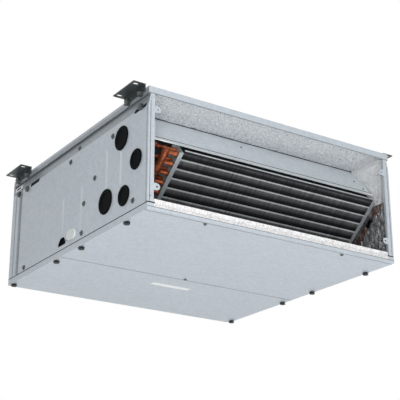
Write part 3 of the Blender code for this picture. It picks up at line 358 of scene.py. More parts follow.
foilTonesAndReflection = {
    # painted reflection of the copper bends and painted shadow between, in millimetres down the coil's face and into
    # its depth, as they fall on the wall beside its end; with the foil's own tones
    "inward": (-11, 5), "copper": ((-4, 40), (76, 130)), "shadow": (46, 73),
    "dark": (0.17, 0.17, 0.175), "light": (0.80, 0.81, 0.82),
    "copperReflectionColour": (0.34, 0.13, 0.075), "black": (0.004, 0.004, 0.004),
}


def wallFoilLook(name):
    # foil creased up and down, with a painted reflection of the copper bends beside the coil's end and a painted
    # shadow between
    look, tree, shader = newMaterial(name, 0.85, 0.4)
    creases = useGroup(tree, crinkle, Facets=150.0, Stretch=(1.0, 1.0, 0.3))
    offset = addNode(tree, "ShaderNodeVectorMath", {0: objectPlace(tree), 1: coilSpot(0, 0, 0)},
                     operation="SUBTRACT").outputs[0]
    down, inward = (addNode(tree, "ShaderNodeVectorMath", {0: offset, 1: way / mm},
                            operation="DOT_PRODUCT").outputs["Value"] for way in (coilDown, coilIn))

    def band(value, low, high, soft):
        rise = addNode(tree, "ShaderNodeMapRange", {"Value": value, "From Min": low - soft, "From Max": low + soft})
        fall = addNode(tree, "ShaderNodeMapRange", {"Value": value, "From Min": high - soft, "From Max": high + soft,
                                                    "To Min": 1.0, "To Max": 0.0})
        return addNode(tree, "ShaderNodeMath", {0: rise.outputs[0], 1: fall.outputs[0]},
                       operation="MULTIPLY").outputs[0]

    beside = band(inward, *foilTonesAndReflection["inward"], 4.0)
    upper, lower = (band(down, *ends, 6.0) for ends in foilTonesAndReflection["copper"])
    either = addNode(tree, "ShaderNodeMath", {0: upper, 1: lower}, operation="MAXIMUM").outputs[0]
    patchy = addNode(tree, "ShaderNodeMapRange", {"Value": useGroup(tree, handling, Size=60.0)["Tone"],
                                                  "From Min": 0.35, "From Max": 0.55}).outputs[0]
    copper = addNode(tree, "ShaderNodeMath", {0: beside, 1: either}, operation="MULTIPLY").outputs[0]
    copper = addNode(tree, "ShaderNodeMath", {0: copper, 1: patchy}, operation="MULTIPLY").outputs[0]
    # painted shadow between the painted copper reflections
    paintedShadow = addNode(tree, "ShaderNodeMath", {0: beside, 1: band(down, *foilTonesAndReflection["shadow"], 4.0)},
                  operation="MULTIPLY").outputs[0]
    foil = mixTones(tree, creases["Tone"], foilTonesAndReflection["dark"], foilTonesAndReflection["light"])
    foil = mixTones(tree, copper, foil, foilTonesAndReflection["copperReflectionColour"])
    foil = mixTones(tree, paintedShadow, foil, foilTonesAndReflection["black"])
    tree.links.new(foil, shader.inputs["Base Color"])
    tree.links.new(remap(tree, creases["Tone"], 0.25, 0.5), shader.inputs["Roughness"])
    addBump(tree, shader, creases["Height"], 0.0015, 0.8)
    return look


def copperPipe(name):
    # bright drawn copper, browned in patches by brazing
    look, tree, shader = newMaterial(name, 0.75, 0.35)
    marks = useGroup(tree, handling, Size=22.0)
    skin = useGroup(tree, grain, Scale=1200.0)
    stained = addNode(tree, "ShaderNodeMapRange", {"Value": marks["Tone"], "From Min": 0.40, "From Max": 0.60})
    tree.links.new(mixTones(tree, stained.outputs[0], (0.16, 0.035, 0.015), (0.66, 0.20, 0.085)),
                   shader.inputs["Base Color"])
    tree.links.new(remap(tree, stained.outputs[0], 0.55, 0.28), shader.inputs["Roughness"])
    addBump(tree, shader, skin["Height"], 0.00003, 0.4)
    return look


finLightAndShade = {
    # painted highlight and shade: share of a tube level from its bright ridge down to the next one, and the fins'
    # painted brightness there
    "profile": ((0.0, 0.05), (0.03, 1.0), (0.12, 1.0), (0.17, 0.20), (0.52, 0.10), (0.70, 0.02), (0.96, 0.01)),
    "ridge": 0.36, "plates": 260.0,
    "dark": (0.004, 0.005, 0.006), "pale": (0.72, 0.75, 0.76),
}


def finWithPaintedLight(name):
    # fins painted dark for the shade between them, with a painted highlight along the ridge where each level of tubes
    # passes, darker towards the foot
    look, tree, shader = newMaterial(name, 0.2, 0.45)
    shader.inputs["Specular IOR Level"].default_value = 0.25
    start = coilSpot(0, 0, 0)
    offset = addNode(tree, "ShaderNodeVectorMath", {0: objectPlace(tree), 1: start}, operation="SUBTRACT")
    down = addNode(tree, "ShaderNodeVectorMath", {0: offset.outputs[0], 1: coilDown}, operation="DOT_PRODUCT")
    levels = addNode(tree, "ShaderNodeMath", {0: down.outputs["Value"], 1: coil["tubePitch"] * mm},
                     operation="DIVIDE")
    moved = addNode(tree, "ShaderNodeMath", {0: levels.outputs[0], 1: finLightAndShade["ridge"]}, operation="ADD")
    share = addNode(tree, "ShaderNodeMath", {0: moved.outputs[0]}, operation="FRACT")
    lightProfile = addNode(tree, "ShaderNodeValToRGB", {"Fac": share.outputs[0]})
    stops = lightProfile.color_ramp.elements
    while len(stops) < len(finLightAndShade["profile"]):
        stops.new(0.5)
    for stop, (place, value) in zip(stops, finLightAndShade["profile"]):
        stop.position = place
        stop.color = (value, value, value, 1.0)
    marks = useGroup(tree, handling, Size=18.0)
    fine = useGroup(tree, grain, Scale=700.0)
    stretch = addNode(tree, "ShaderNodeMapping", {"Vector": objectPlace(tree), "Scale": (1.0, 0.03, 0.03)})
    plates = addNode(tree, "ShaderNodeTexNoise", {"Vector": stretch.outputs[0], "Scale": finLightAndShade["plates"],
                                                  "Detail": 2.0})
    rough = addNode(tree, "ShaderNodeMix", {"Factor": 0.5, "A": marks["Tone"], "B": fine["Tone"]}).outputs["Result"]
    uneven = addNode(tree, "ShaderNodeMix", {"Factor": 0.55, "A": rough, "B": plates.outputs["Fac"]}).outputs["Result"]
    spread = addNode(tree, "ShaderNodeMapRange", {"Value": uneven, "From Min": 0.35, "From Max": 0.65,
                                                  "To Min": 0.55, "To Max": 1.45})
    # darker towards the foot
    fade = addNode(tree, "ShaderNodeMapRange", {"Value": levels.outputs[0], "From Max": coil["tubes"],
                                                "To Min": 1.25, "To Max": 0.75})
    faded = addNode(tree, "ShaderNodeMath", {0: lightProfile.outputs["Color"], 1: fade.outputs[0]}, operation="MULTIPLY")
    tone = addNode(tree, "ShaderNodeMath", {0: faded.outputs[0], 1: spread.outputs[0]}, operation="MULTIPLY",
                   use_clamp=True)
    tree.links.new(mixTones(tree, tone.outputs[0], finLightAndShade["dark"], finLightAndShade["pale"]),
                   shader.inputs["Base Color"])
    tree.links.new(remap(tree, tone.outputs[0], 0.6, 0.38), shader.inputs["Roughness"])
    addBump(tree, shader, fine["Height"], 0.00005, 0.5)
    return look


# the fold colour is the painted shade along the casing's folds and groove
casingZinc = zincSheet("casingZinc", (0.43, 0.47, 0.51), (0.58, 0.63, 0.68), metallic=0.45,
                       foldShade=(0.06, 0.07, 0.075))
# a lighter copy of the zinc for the parts inside the casing: painted light, standing in for light reaching the
# interior
litInnerZinc = zincSheet("litInnerZinc", (0.64, 0.69, 0.72), (0.84, 0.89, 0.92), metallic=0.3, crystals=120.0)
coilZinc = zincSheet("coilZinc", (0.20, 0.22, 0.23), (0.36, 0.39, 0.41), metallic=0.4, crystals=260.0)
darkZinc = zincSheet("darkZinc", (0.040, 0.047, 0.048), (0.14, 0.155, 0.158), metallic=0.7, crystals=420.0, wear=1.0)
boltZinc = zincSheet("boltZinc", (0.025, 0.03, 0.03), (0.27, 0.30, 0.30), metallic=0.9, crystals=500.0)
rimZinc = zincSheet("rimZinc", (0.24, 0.26, 0.27), (0.46, 0.49, 0.50), metallic=0.4, crystals=300.0)
clipZinc = zincSheet("clipZinc", (0.55, 0.57, 0.58), (0.95, 0.97, 0.98), metallic=0.6, crystals=400.0)
copperTube = copperPipe("copperTube")
coilFin = finWithPaintedLight("coilFin")
plugRubber = grainy("plugRubber", (0.001, 0.001, 0.001), (0.004, 0.005, 0.006), 0.6, depth=0.0001, shine=0.04)
knobPlastic = grainy("knobPlastic", (0.006, 0.006, 0.007), (0.020, 0.021, 0.022), 0.4, wear=0.6, shine=0.25)
capPlastic = grainy("capPlastic", (0.58, 0.61, 0.59), (0.76, 0.79, 0.77), 0.4)
stripFilm = grainy("stripFilm", (0.42, 0.45, 0.47), (0.78, 0.81, 0.82), 0.5, scale=420.0)
labelFilm = grainy("labelFilm", (0.62, 0.63, 0.63), (0.84, 0.85, 0.84), 0.5, scale=1500.0)
greyPaint = grainy("greyPaint", (0.20, 0.22, 0.23), (0.32, 0.34, 0.35), 0.4, scale=700.0, wear=0.8)
groundSteel = zincSheet("groundSteel", (0.30, 0.30, 0.31), (0.55, 0.55, 0.56), metallic=1.0, crystals=900.0)
wheelPlastic = grainy("wheelPlastic", (0.015, 0.015, 0.017), (0.040, 0.040, 0.043), 0.5)
# dark rubber for the coil's top rim, also painted shade along the side seams and round the screws
rubberAndSeamShade = grainy("rubberAndSeamShade", (0.008, 0.009, 0.010), (0.026, 0.027, 0.029), 0.8, shine=0.2)
slateFoam = grainy("slateFoam", (0.020, 0.026, 0.030), (0.060, 0.072, 0.080), 0.9, scale=600.0, shine=0.1)
# black for painted shade in gaps, holes and slots
blackFoam = grainy("blackFoam", (0.0015, 0.0015, 0.0015), (0.006, 0.006, 0.006), 0.95, scale=600.0, shine=0.05)
ceilingFoil = crumpled("ceilingFoil", (0.40, 0.41, 0.43), (0.84, 0.86, 0.88), 0.3, 260.0, 0.0010)
# near white: painted light, standing in for light falling on the right inner wall
wallPaintedLight = crumpled("wallPaintedLight", (0.92, 0.93, 0.94), (1.0, 1.0, 1.0), 0.0, 90.0, 0.0008)
wallFoil = wallFoilLook("wallFoil")
panFoil = crumpled("panFoil", *tapeTones, 0.05, 170.0, 0.0004)

partLooks = {
    casingZinc: ["top_panel", "left_side_panel", "right_side_panel", "bottom_front_panel", "bottom_rear_panel",
                 "rear_frame"],
    litInnerZinc: ["fan_deck", "drain_pan", "baffle_plate", "blower_housing_left", "blower_housing_right",
                "motor_cradle"] + [name for name in parts if name.startswith("blower_cheek")],
    coilZinc: ["coil_end_plate_left", "coil_end_plate_right"],
    darkZinc: [name for name in parts if name.startswith("hanger_bracket")],
    copperTube: [name for name in parts if name.startswith(("coil_tube", "supply_", "return_"))],
    coilFin: ["coil_fins"],
    plugRubber: [name for name in parts if name.startswith("plug_")],
    knobPlastic: [name for name in parts if name.startswith("knob_")] + ["drain_spigot"],
    capPlastic: ["drain_cap"],
    wallFoil: ["right_liner"],
    greyPaint: ["fan_motor", "capacitor", "terminal_box"],
    groundSteel: ["fan_shaft"],
    wheelPlastic: [name for name in parts if name.startswith("impeller")],
}
for look, names in partLooks.items():
    for name in names:
        parts[name].data.materials.clear()
        parts[name].data.materials.append(look)
print("materials placed")


# Pieces

def finishPiece(name, bm, look, body="casing", smooth=None):
    mesh = bpy.data.meshes.new(name)
    bm.to_mesh(mesh)
    bm.free()
    piece = bpy.data.objects.new(name, mesh)
    bpy.context.scene.collection.objects.link(piece)
    mesh.materials.append(look)
    if smooth:
        mesh.shade_smooth()
        mesh.set_sharp_from_angle(angle=math.radians(smooth))
    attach(piece, body)
    return piece


def addBox(bm, low, high):
    size = high - low
    matrix = Matrix.Translation((low + high) / 2) @ Matrix.Diagonal((abs(size.x), abs(size.y), abs(size.z), 1))
    bmesh.ops.create_cube(bm, size=1, matrix=matrix)


def facing(way):
    return Vector((0, 0, 1)).rotation_difference(Vector(way)).to_matrix().to_4x4()


def addDisc(bm, place, way, radius, height, sides=16, top=None):
    # a short cylinder or cone standing on a surface
    matrix = Matrix.Translation(place) @ facing(way) @ Matrix.Translation((0, 0, height / 2))
    bmesh.ops.create_cone(bm, cap_ends=True, segments=sides, radius1=radius,
                          radius2=radius if top is None else top, depth=height, matrix=matrix)


screws = {
    "flange": 5.0 * mm, "flangeHeight": 0.8 * mm,
    # the seal is a dark ring under the head: a sealing washer that also paints the screw's shadow
    "sealAndShade": 6.6 * mm, "sealAndShadeHeight": 0.5 * mm,
    "head": 3.6 * mm, "headHeight": 2.6 * mm,
    "bolt": 6.5 * mm, "boltHeight": 4.2 * mm,
    "washer": 8.0 * mm, "washerHeight": 1.4 * mm,
}


def addScrew(bm, place, way):
    # flanged hex screw: washer face, hex head and a dished top
    way = Vector(way)
    addDisc(bm, place, way, screws["flange"], screws["flangeHeight"], 18, screws["flange"] * 0.86)
    seat = place + way * screws["flangeHeight"] * 0.9
    addDisc(bm, seat, way, screws["head"], screws["headHeight"], 6)
    addDisc(bm, seat + way * screws["headHeight"] * 0.98, way, screws["head"] * 0.78, 0.3 * mm, 12,
            screws["head"] * 0.6)


def addBolt(bm, place, way):
    way = Vector(way)
    addDisc(bm, place, way, screws["washer"], screws["washerHeight"], 24)
    seat = place + way * screws["washerHeight"]
    addDisc(bm, seat, way, screws["bolt"] * 1.155, screws["boltHeight"], 6)
    addDisc(bm, seat + way * screws["boltHeight"], way, screws["bolt"] * 0.9, 0.6 * mm, 18, screws["bolt"] * 0.7)
    addDisc(bm, seat + way * (screws["boltHeight"] + 0.5 * mm), way, 3.6 * mm, 2.2 * mm, 12, 3.2 * mm)


casingScrews = {
    # back, up
    "left": ((371, 235), (242, 150), (293.6, 102), (62, 37.5), (160, 227), (615, 26), (300, 30), (328, 256)),
    "right": ((371, 235), (242, 150), (300, 30), (62, 37.5), (615, 26), (328, 256), (470, 190), (530, 75)),
    "under": ((356, 399), (158, 13), (556, 16)),
    "windows": ((33, 252, -1), (618, 244, -1), (618, 244, 1)),
    "joggleFoot": 249.7, "joggleLean": 0.2,
}


def sidePlace(side, back, up):
    # on the outer face of a side, which leans in above the joggle's foot
    inset = max(0.0, up - casingScrews["joggleFoot"]) * casingScrews["joggleLean"]
    across = inset if side == "left" else caseWidth / mm - inset
    return spot(across, back, up)


def makeCasingScrews():
    heads = bmesh.new()
    sealShadows = bmesh.new()
    ways = {"left": (-1, 0, 0), "right": (1, 0, 0)}
    for side, way in ways.items():
        for back, up in casingScrews[side]:
            place = sidePlace(side, back, up)
            # a dark sealing washer under each screw, also a painted shadow round its head
            addDisc(sealShadows, place, way, screws["sealAndShade"], screws["sealAndShadeHeight"], 20)
            addScrew(heads, place + Vector(way) * screws["sealAndShadeHeight"] * 0.9, way)
    for back, up, way in casingScrews["windows"]:
        side = "left" if way < 0 else "right"
        addBolt(heads, sidePlace(side, back, up), (way, 0, 0))
    finishPiece("casingScrews", heads, boltZinc, smooth=30)
    finishPiece("screwSealShadows", sealShadows, rubberAndSeamShade, smooth=30)
    under = bmesh.new()
    for across, back in casingScrews["under"]:
        addScrew(under, spot(across, back, 0), (0, 0, -1))
    finishPiece("underScrew", under, boltZinc, "front_access_panel", smooth=30)


bracketBolts = {"ears": 56, "up": 285.5, "out": 2.9}


def makeBracketBolts():
    bm = bmesh.new()
    for end in ("front", "rear"):
        for side, way in (("left", -1), ("right", 1)):
            low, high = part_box("hanger_bracket_" + end + "_" + side)
            middle = (low.y + high.y) / 2
            face = casingCorner.x - bracketBolts["out"] * mm
            if side == "right":
                face = casingCorner.x + caseWidth + bracketBolts["out"] * mm
            for step in (-0.5, 0.5):
                place = Vector((face, middle + step * bracketBolts["ears"] * mm,
                                casingCorner.z + bracketBolts["up"] * mm))
                addBolt(bm, place, (way, 0, 0))
    finishPiece("bracketBolts", bm, boltZinc, smooth=30)


fins = {"pitch": 2.9, "thickness": 0.45, "from": 114.6, "to": 682.6, "depth": 44, "ripple": 0.5, "steps": 36}


def makeFins():
    # one thin rippled plate for each fin, standing between the end plates
    bm = bmesh.new()
    length = coil["tubes"] * coil["tubePitch"]
    count = int((fins["to"] - fins["from"]) / fins["pitch"])
    for number in range(count + 1):
        across = fins["from"] + number * (fins["to"] - fins["from"] - fins["thickness"]) / count
        rows = []
        for step in range(fins["steps"] + 1):
            down = length * step / fins["steps"]
            rise = fins["ripple"] * (1 - math.cos(2 * math.pi * down / coil["tubePitch"])) / 2
            rows.append([bm.verts.new(coilSpot(x, down, inward))
                         for x in (across, across + fins["thickness"])
                         for inward in (fins["ripple"] - rise, fins["depth"])])
        for first, second in zip(rows, rows[1:]):
            a, b, c, d = first
            e, f, g, h = second
            for corners in ((a, e, f, b), (c, d, h, g), (a, c, g, e), (b, f, h, d)):
                bm.faces.new(corners)
        for a, b, c, d in (rows[0],):
            bm.faces.new((a, b, d, c))
        for a, b, c, d in (rows[-1],):
            bm.faces.new((a, c, d, b))
    bmesh.ops.recalc_face_normals(bm, faces=bm.faces)
    piece = finishPiece("coilFinPlates", bm, coilFin)
    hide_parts("coil_fins")


coilTop = {"rim": (-0.2, 1.8), "rimRise": 6.2, "edge": (-0.5, 2.2), "edgeRise": (5.6, 7.4),
           "sealAndShade": (2.6, 43.5), "sealAndShadeRise": 0.28}


def addSlab(bm, corners):
    # the closed shape round eight corners
    bmesh.ops.convex_hull(bm, input=[bm.verts.new(corner) for corner in corners])


def makeCoilTop():
    # a dark rim with a bright edge along the top of the fins, and behind it a black seal that also paints the shade
    # between the fins' tops
    ends = (fins["from"], fins["to"])
    bm = bmesh.new()
    addSlab(bm, [coilSpot(x, -rise, inward) for x in ends for rise in coilTop["edgeRise"]
                 for inward in coilTop["edge"]])
    finishPiece("coilTopEdge", bm, rimZinc)
    bm = bmesh.new()
    addSlab(bm, [coilSpot(x, -rise, inward) for x in ends for rise in (-0.5, coilTop["rimRise"])
                 for inward in coilTop["rim"]])
    finishPiece("coilTopRim", bm, rubberAndSeamShade)
    bm = bmesh.new()
    addSlab(bm, [coilSpot(x, down, inward) for x in ends for down in (-coilTop["sealAndShadeRise"], 0.02)
                 for inward in coilTop["sealAndShade"]])
    finishPiece("coilTopSealShade", bm, blackFoam)


ceiling = {"from": (7, 8), "to": (705, 133.5), "up": 289.6, "thickness": 3.0, "step": 4.5, "crease": 0.8}


def makeCeilingLiner():
    # foil-faced insulation under the top panel, creased all over
    rng = random.Random(5)
    bm = bmesh.new()
    columns = int((ceiling["to"][0] - ceiling["from"][0]) / ceiling["step"])
    rows = int((ceiling["to"][1] - ceiling["from"][1]) / ceiling["step"])
    grid = []
    for row in range(rows + 1):
        line = []
        for column in range(columns + 1):
            across = ceiling["from"][0] + (ceiling["to"][0] - ceiling["from"][0]) * column / columns
            back = ceiling["from"][1] + (ceiling["to"][1] - ceiling["from"][1]) * row / rows
            drop = ceiling["thickness"]
            if 0 < row < rows and 0 < column < columns:
                drop += rng.uniform(-ceiling["crease"], ceiling["crease"])
                across += rng.uniform(-1.5, 1.5)
                back += rng.uniform(-1.5, 1.5)
            line.append(bm.verts.new(spot(across, back, ceiling["up"] - drop)))
        grid.append(line)
    for first, second in zip(grid, grid[1:]):
        for a, b, c, d in zip(first, first[1:], second[1:], second):
            bm.faces.new((d, c, b, a))
    edges = [edge for edge in bm.edges if edge.is_boundary]
    made = bmesh.ops.extrude_edge_only(bm, edges=edges)["geom"]
    upper = [item for item in made if isinstance(item, bmesh.types.BMVert)]
    for vert in upper:
        vert.co.z = spot(0, 0, ceiling["up"]).z
    rim = [item for item in made if isinstance(item, bmesh.types.BMEdge)
           and item.verts[0] in upper and item.verts[1] in upper]
    bmesh.ops.contextual_create(bm, geom=rim)
    bmesh.ops.recalc_face_normals(bm, faces=bm.faces)
    finishPiece("ceilingLiner", bm, ceilingFoil)


def makeWallLiner():
    # crumpled foil on the right inner wall, standing for the plain liner
    rng = random.Random(11)
    low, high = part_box("right_liner")
    columns, rows = 34, 22
    bm = bmesh.new()
    grid = []
    for row in range(rows + 1):
        line = []
        for column in range(columns + 1):
            edge = row in (0, rows) or column in (0, columns)
            depth = 0.0 if edge else rng.uniform(0.0, 3.4 * mm)
            slack = 0.0 if edge else 1.6 * mm
            line.append(bm.verts.new((low.x + depth,
                                      low.y + (high.y - low.y) * column / columns + rng.uniform(-slack, slack),
                                      low.z + (high.z - low.z) * row / rows + rng.uniform(-slack, slack))))
        grid.append(line)
    for first, second in zip(grid, grid[1:]):
        for a, b, c, d in zip(first, first[1:], second[1:], second):
            bm.faces.new((a, d, c, b))
    edges = [edge for edge in bm.edges if edge.is_boundary]
    made = bmesh.ops.extrude_edge_only(bm, edges=edges)["geom"]
    outer = [item for item in made if isinstance(item, bmesh.types.BMVert)]
    for vert in outer:
        vert.co.x = high.x
    rim = [item for item in made if isinstance(item, bmesh.types.BMEdge)
           and item.verts[0] in outer and item.verts[1] in outer]
    bmesh.ops.contextual_create(bm, geom=rim)
    bmesh.ops.recalc_face_normals(bm, faces=bm.faces)
    piece = finishPiece("wallFoilLiner", bm, wallFoil)
    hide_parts("right_liner")


upperWall = {
    # back from the front; up from the crumpled foil; the wall leans in by the joggle above its foot
    "back": (16.5, 262), "up": (0.4, 287.5), "joggle": (249.5, 273.5), "inset": 5.2, "thickness": 1.2,
    "columns": 54, "rows": 26, "crease": 1.7, "creased": (60, 150),
}


def makeUpperWallLight():
    # pale facing on the right inner wall, over the crumpled foil, creased where the baffle ends; made near white, a
    # painted light standing in for light falling on the wall
    rng = random.Random(3)
    low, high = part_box("right_liner")
    foot = (high.z - casingCorner.z) / mm + upperWall["up"][0]
    wall = (high.x - casingCorner.x) / mm
    front, rear = upperWall["back"]
    bm = bmesh.new()
    grid = []
    for row in range(upperWall["rows"] + 1):
        up = foot + (upperWall["up"][1] - foot) * row / upperWall["rows"]
        start, end = upperWall["joggle"]
        lean = min(max((up - start) / (end - start), 0.0), 1.0) * upperWall["inset"]
        line = []
        for column in range(upperWall["columns"] + 1):
            back = front + (rear - front) * column / upperWall["columns"]
            inner = 0 < row < upperWall["rows"] and 0 < column < upperWall["columns"]
            near, far = upperWall["creased"]
            creased = 1.0 if near < back < far else 0.25
            depth = rng.uniform(0, 1) * upperWall["crease"] * creased if inner else 0.0
            line.append(bm.verts.new(spot(wall - lean - upperWall["thickness"] - depth, back, up)))
        grid.append(line)
    for first, second in zip(grid, grid[1:]):
        for a, b, c, d in zip(first, first[1:], second[1:], second):
            bm.faces.new((a, d, c, b))
    bmesh.ops.solidify(bm, geom=bm.faces[:], thickness=-0.9 * mm)
    bmesh.ops.recalc_face_normals(bm, faces=bm.faces)
    finishPiece("upperWallPaintedLight", bm, wallPaintedLight)


def softPath(points, radius, steps=8):
    # a path whose corners are bent to a radius
    points = [Vector(point) for point in points]
    path = [points[0]]
    for before, corner, after in zip(points, points[1:], points[2:]):
        back = (before - corner).normalized()
        fore = (after - corner).normalized()
        half = back.angle(fore) / 2
        reach = radius / math.tan(half)
        centre = corner + (back + fore).normalized() * (radius / math.sin(half))
        for step in range(steps + 1):
            chord = (corner + back * reach).lerp(corner + fore * reach, step / steps)
            path.append(centre + (chord - centre).normalized() * radius)
    path.append(points[-1])
    return path


def addTube(bm, points, radius, sides=16):
    # rings carried along a path without twist, closed at both ends
    way = (points[1] - points[0]).normalized()
    across = way.orthogonal().normalized()
    rings = []
    for index, place in enumerate(points):
        before = points[max(index - 1, 0)]
        after = points[min(index + 1, len(points) - 1)]
        new = (after - before).normalized()
        across = (across - new * across.dot(new)).normalized()
        other = new.cross(across)
        rings.append([bm.verts.new(place + (across * math.cos(t) + other * math.sin(t)) * radius)
                      for t in (2 * math.pi * number / sides for number in range(sides))])
    for first, second in zip(rings, rings[1:]):
        for number in range(sides):
            after = (number + 1) % sides
            bm.faces.new((first[number], first[after], second[after], second[number]))
    bm.faces.new(rings[0][::-1])
    bm.faces.new(rings[-1])


def inCoil(place):
    # down the coil's face and into its depth, in millimetres
    offset = place - coilSpot(0, 0, 0)
    return offset.dot(coilDown) / mm, offset.dot(coilIn) / mm


pipes = {
    "header": 15.0, "supplyAcross": 74.0, "returnAcross": 52.0, "ends": 9.0, "bend": 12.0,
    "jog": (24.0, 40.0), "stubTo": 103.7, "branchTo": 12.0,
    "collar": 6.1, "collarLength": 8.0, "ring": 8.6, "cap": 3.0,
}


def tubeLevel(number):
    return (number + 0.5) * coil["tubePitch"]


def makeHairpins():
    # one hairpin for each level, bent round beyond the right end plate
    front = coil["rowPitch"] / 2
    rear = coil["rowPitch"] * 1.5
    low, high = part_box("coil_tube_1")
    ends = [(corner.x - casingCorner.x) / mm for corner in (low, high)]
    turn = ends[1] - coil["tube"] / 2 - front
    bm = bmesh.new()
    for number in range(coil["tubes"]):
        level = tubeLevel(number)
        bend = [coilSpot(turn + front * math.sin(t), level, coil["rowPitch"] - front * math.cos(t))
                for t in (math.pi * step / 12 for step in range(13))]
        path = [coilSpot(ends[0], level, front)] + bend + [coilSpot(ends[0], level, rear)]
        addTube(bm, path, coil["tube"] * mm / 2)
    piece = finishPiece("coilHairpins", bm, copperTube, smooth=50)
    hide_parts(*["coil_tube_%d" % (number + 1) for number in range(coil["tubes"])])


def makeHeader(side, across, inward, branch):
    # the pipe down the coil's end, its brazed stubs, its end caps and the branch to its plug
    bm = bmesh.new()
    first = tubeLevel(0) - pipes["ends"]
    last = tubeLevel(coil["tubes"] - 1) + pipes["ends"]
    radius = pipes["header"] * mm / 2
    addTube(bm, [coilSpot(across, down, inward) for down in (first + 1, last - 1)], radius, 20)
    for down, way in ((first, 1), (last, -1)):
        addDisc(bm, coilSpot(across, down, inward), coilDown * way, radius * 0.8, pipes["cap"] * mm, 20,
                radius * 1.06)
    for number in range(coil["tubes"]):
        level = tubeLevel(number)
        addTube(bm, [coilSpot(x, level, inward) for x in (across, pipes["stubTo"])], coil["tube"] * mm / 2)
        seat = coilSpot(pipes["stubTo"], level, inward)
        addDisc(bm, seat, (-1, 0, 0), pipes["collar"] * mm, pipes["collarLength"] * mm, 16, coil["tube"] * mm / 2)
        foot = coilSpot(across + pipes["header"] / 2 - 1.2, level, inward)
        addDisc(bm, foot, (1, 0, 0), pipes["collar"] * 1.1 * mm, 3.2 * mm, 16, coil["tube"] * mm / 2)
    addTube(bm, softPath(branch, pipes["bend"] * mm), radius, 20)
    piece = finishPiece(side + "HeaderPipe", bm, copperTube, smooth=50)
    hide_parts(side + "_header")


def makeHeaders():
    front = coil["rowPitch"] / 2
    rear = coil["rowPitch"] * 1.5
    centre = {side: inCoil(sum(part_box("plug_" + side), Vector()) / 2) for side in ("supply", "return")}
    down, inward = centre["supply"]
    near, far = (pipes["supplyAcross"] - jog for jog in pipes["jog"])
    makeHeader("supply", pipes["supplyAcross"], front,
               [coilSpot(pipes["supplyAcross"], down, front), coilSpot(near, down, front),
                coilSpot(far, down, inward), coilSpot(pipes["branchTo"], down, inward)])
    down, inward = centre["return"]
    makeHeader("return", pipes["returnAcross"], rear,
               [coilSpot(pipes["returnAcross"], down, rear), coilSpot(pipes["returnAcross"], down, inward),
                coilSpot(pipes["branchTo"], down, inward)])


blowers = {
    # a growing spiral from the tongue round to the top, in millimetres back and up
    "axis": (570, 147), "start": 100, "growth": 38, "outlet": (183, 285), "sheet": 1.2, "steps": 84,
    "rim": 3.2, "rimRise": 1.0,
}


def scrollPath(inset, front):
    back, up = blowers["axis"]
    foot, head = blowers["outlet"]
    tongue = math.pi - math.asin((foot + inset - up) / (blowers["start"] - inset))
    path = [(front, foot + inset)]
    for step in range(blowers["steps"] + 1):
        share = step / blowers["steps"]
        angle = tongue + (2.5 * math.pi - tongue) * share
        radius = blowers["start"] + blowers["growth"] * share - inset
        path.append((back + radius * math.cos(angle), up + radius * math.sin(angle)))
    return path + [(front, head - inset)]


def addScroll(bm, low, high, outer, inner):
    # a bent sheet between two heights over the spiral, from one place across to another
    rows = [[bm.verts.new((across, casingCorner.y + back * mm, casingCorner.z + up * mm)) for back, up in path]
            for across in (low, high) for path in (outer, inner)]
    lowOuter, lowInner, highOuter, highInner = rows
    ring = (lowOuter, highOuter, highInner, lowInner)
    for first, second in zip(ring, ring[1:] + ring[:1]):
        for a, b, c, d in zip(first, first[1:], second[1:], second):
            bm.faces.new((a, b, c, d))
    for number in (0, -1):
        bm.faces.new([row[number] for row in ring])


def makeBlowerWraps():
    # smooth scroll wraps with a folded rim over each cheek
    for side in ("left", "right"):
        low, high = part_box("blower_housing_" + side)
        front = (low.y - casingCorner.y) / mm
        bm = bmesh.new()
        addScroll(bm, low.x, high.x, scrollPath(0, front), scrollPath(blowers["sheet"], front))
        bmesh.ops.recalc_face_normals(bm, faces=bm.faces)
        piece = finishPiece(side + "BlowerWrap", bm, litInnerZinc, smooth=30)
        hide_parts("blower_housing_" + side)
        bm = bmesh.new()
        edge = blowers["sheet"] * mm
        width = blowers["rim"] * mm
        outside = scrollPath(-blowers["rimRise"], front)
        for start, end in ((low.x - edge, low.x - edge + width), (high.x + edge - width, high.x + edge)):
            addScroll(bm, start, end, outside, scrollPath(-0.05, front))
        bmesh.ops.recalc_face_normals(bm, faces=bm.faces)
        finishPiece(side + "BlowerRims", bm, casingZinc, smooth=30)


terminalLid = {"inset": 2.0, "thickness": 1.0, "screws": 7.0}


def makeTerminalLid():
    # a lid with a screw at each corner, on the inner face of the terminal box
    low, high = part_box("terminal_box")
    inset = Vector((0, terminalLid["inset"], terminalLid["inset"])) * mm
    face = low.x - terminalLid["thickness"] * mm
    bm = bmesh.new()
    addBox(bm, Vector((face, low.y, low.z)) + inset, Vector((low.x + 0.2 * mm, high.y, high.z)) - inset)
    finishPiece("terminalLid", bm, greyPaint)
    bm = bmesh.new()
    edge = terminalLid["screws"] * mm
    for back in (low.y + edge, high.y - edge):
        for up in (low.z + edge, high.z - edge):
            addDisc(bm, Vector((face, back, up)), (-1, 0, 0), 3.0 * mm, 1.6 * mm, 16, 2.2 * mm)
    finishPiece("terminalScrews", bm, boltZinc, smooth=30)


labels = {"strips": ((186, 104, 200), (120, 95, 174), (402, 56, 147), (307, 42, 151)), "width": 9.0,
          "thickness": 0.12, "under": ((361, 478), (116, 18))}


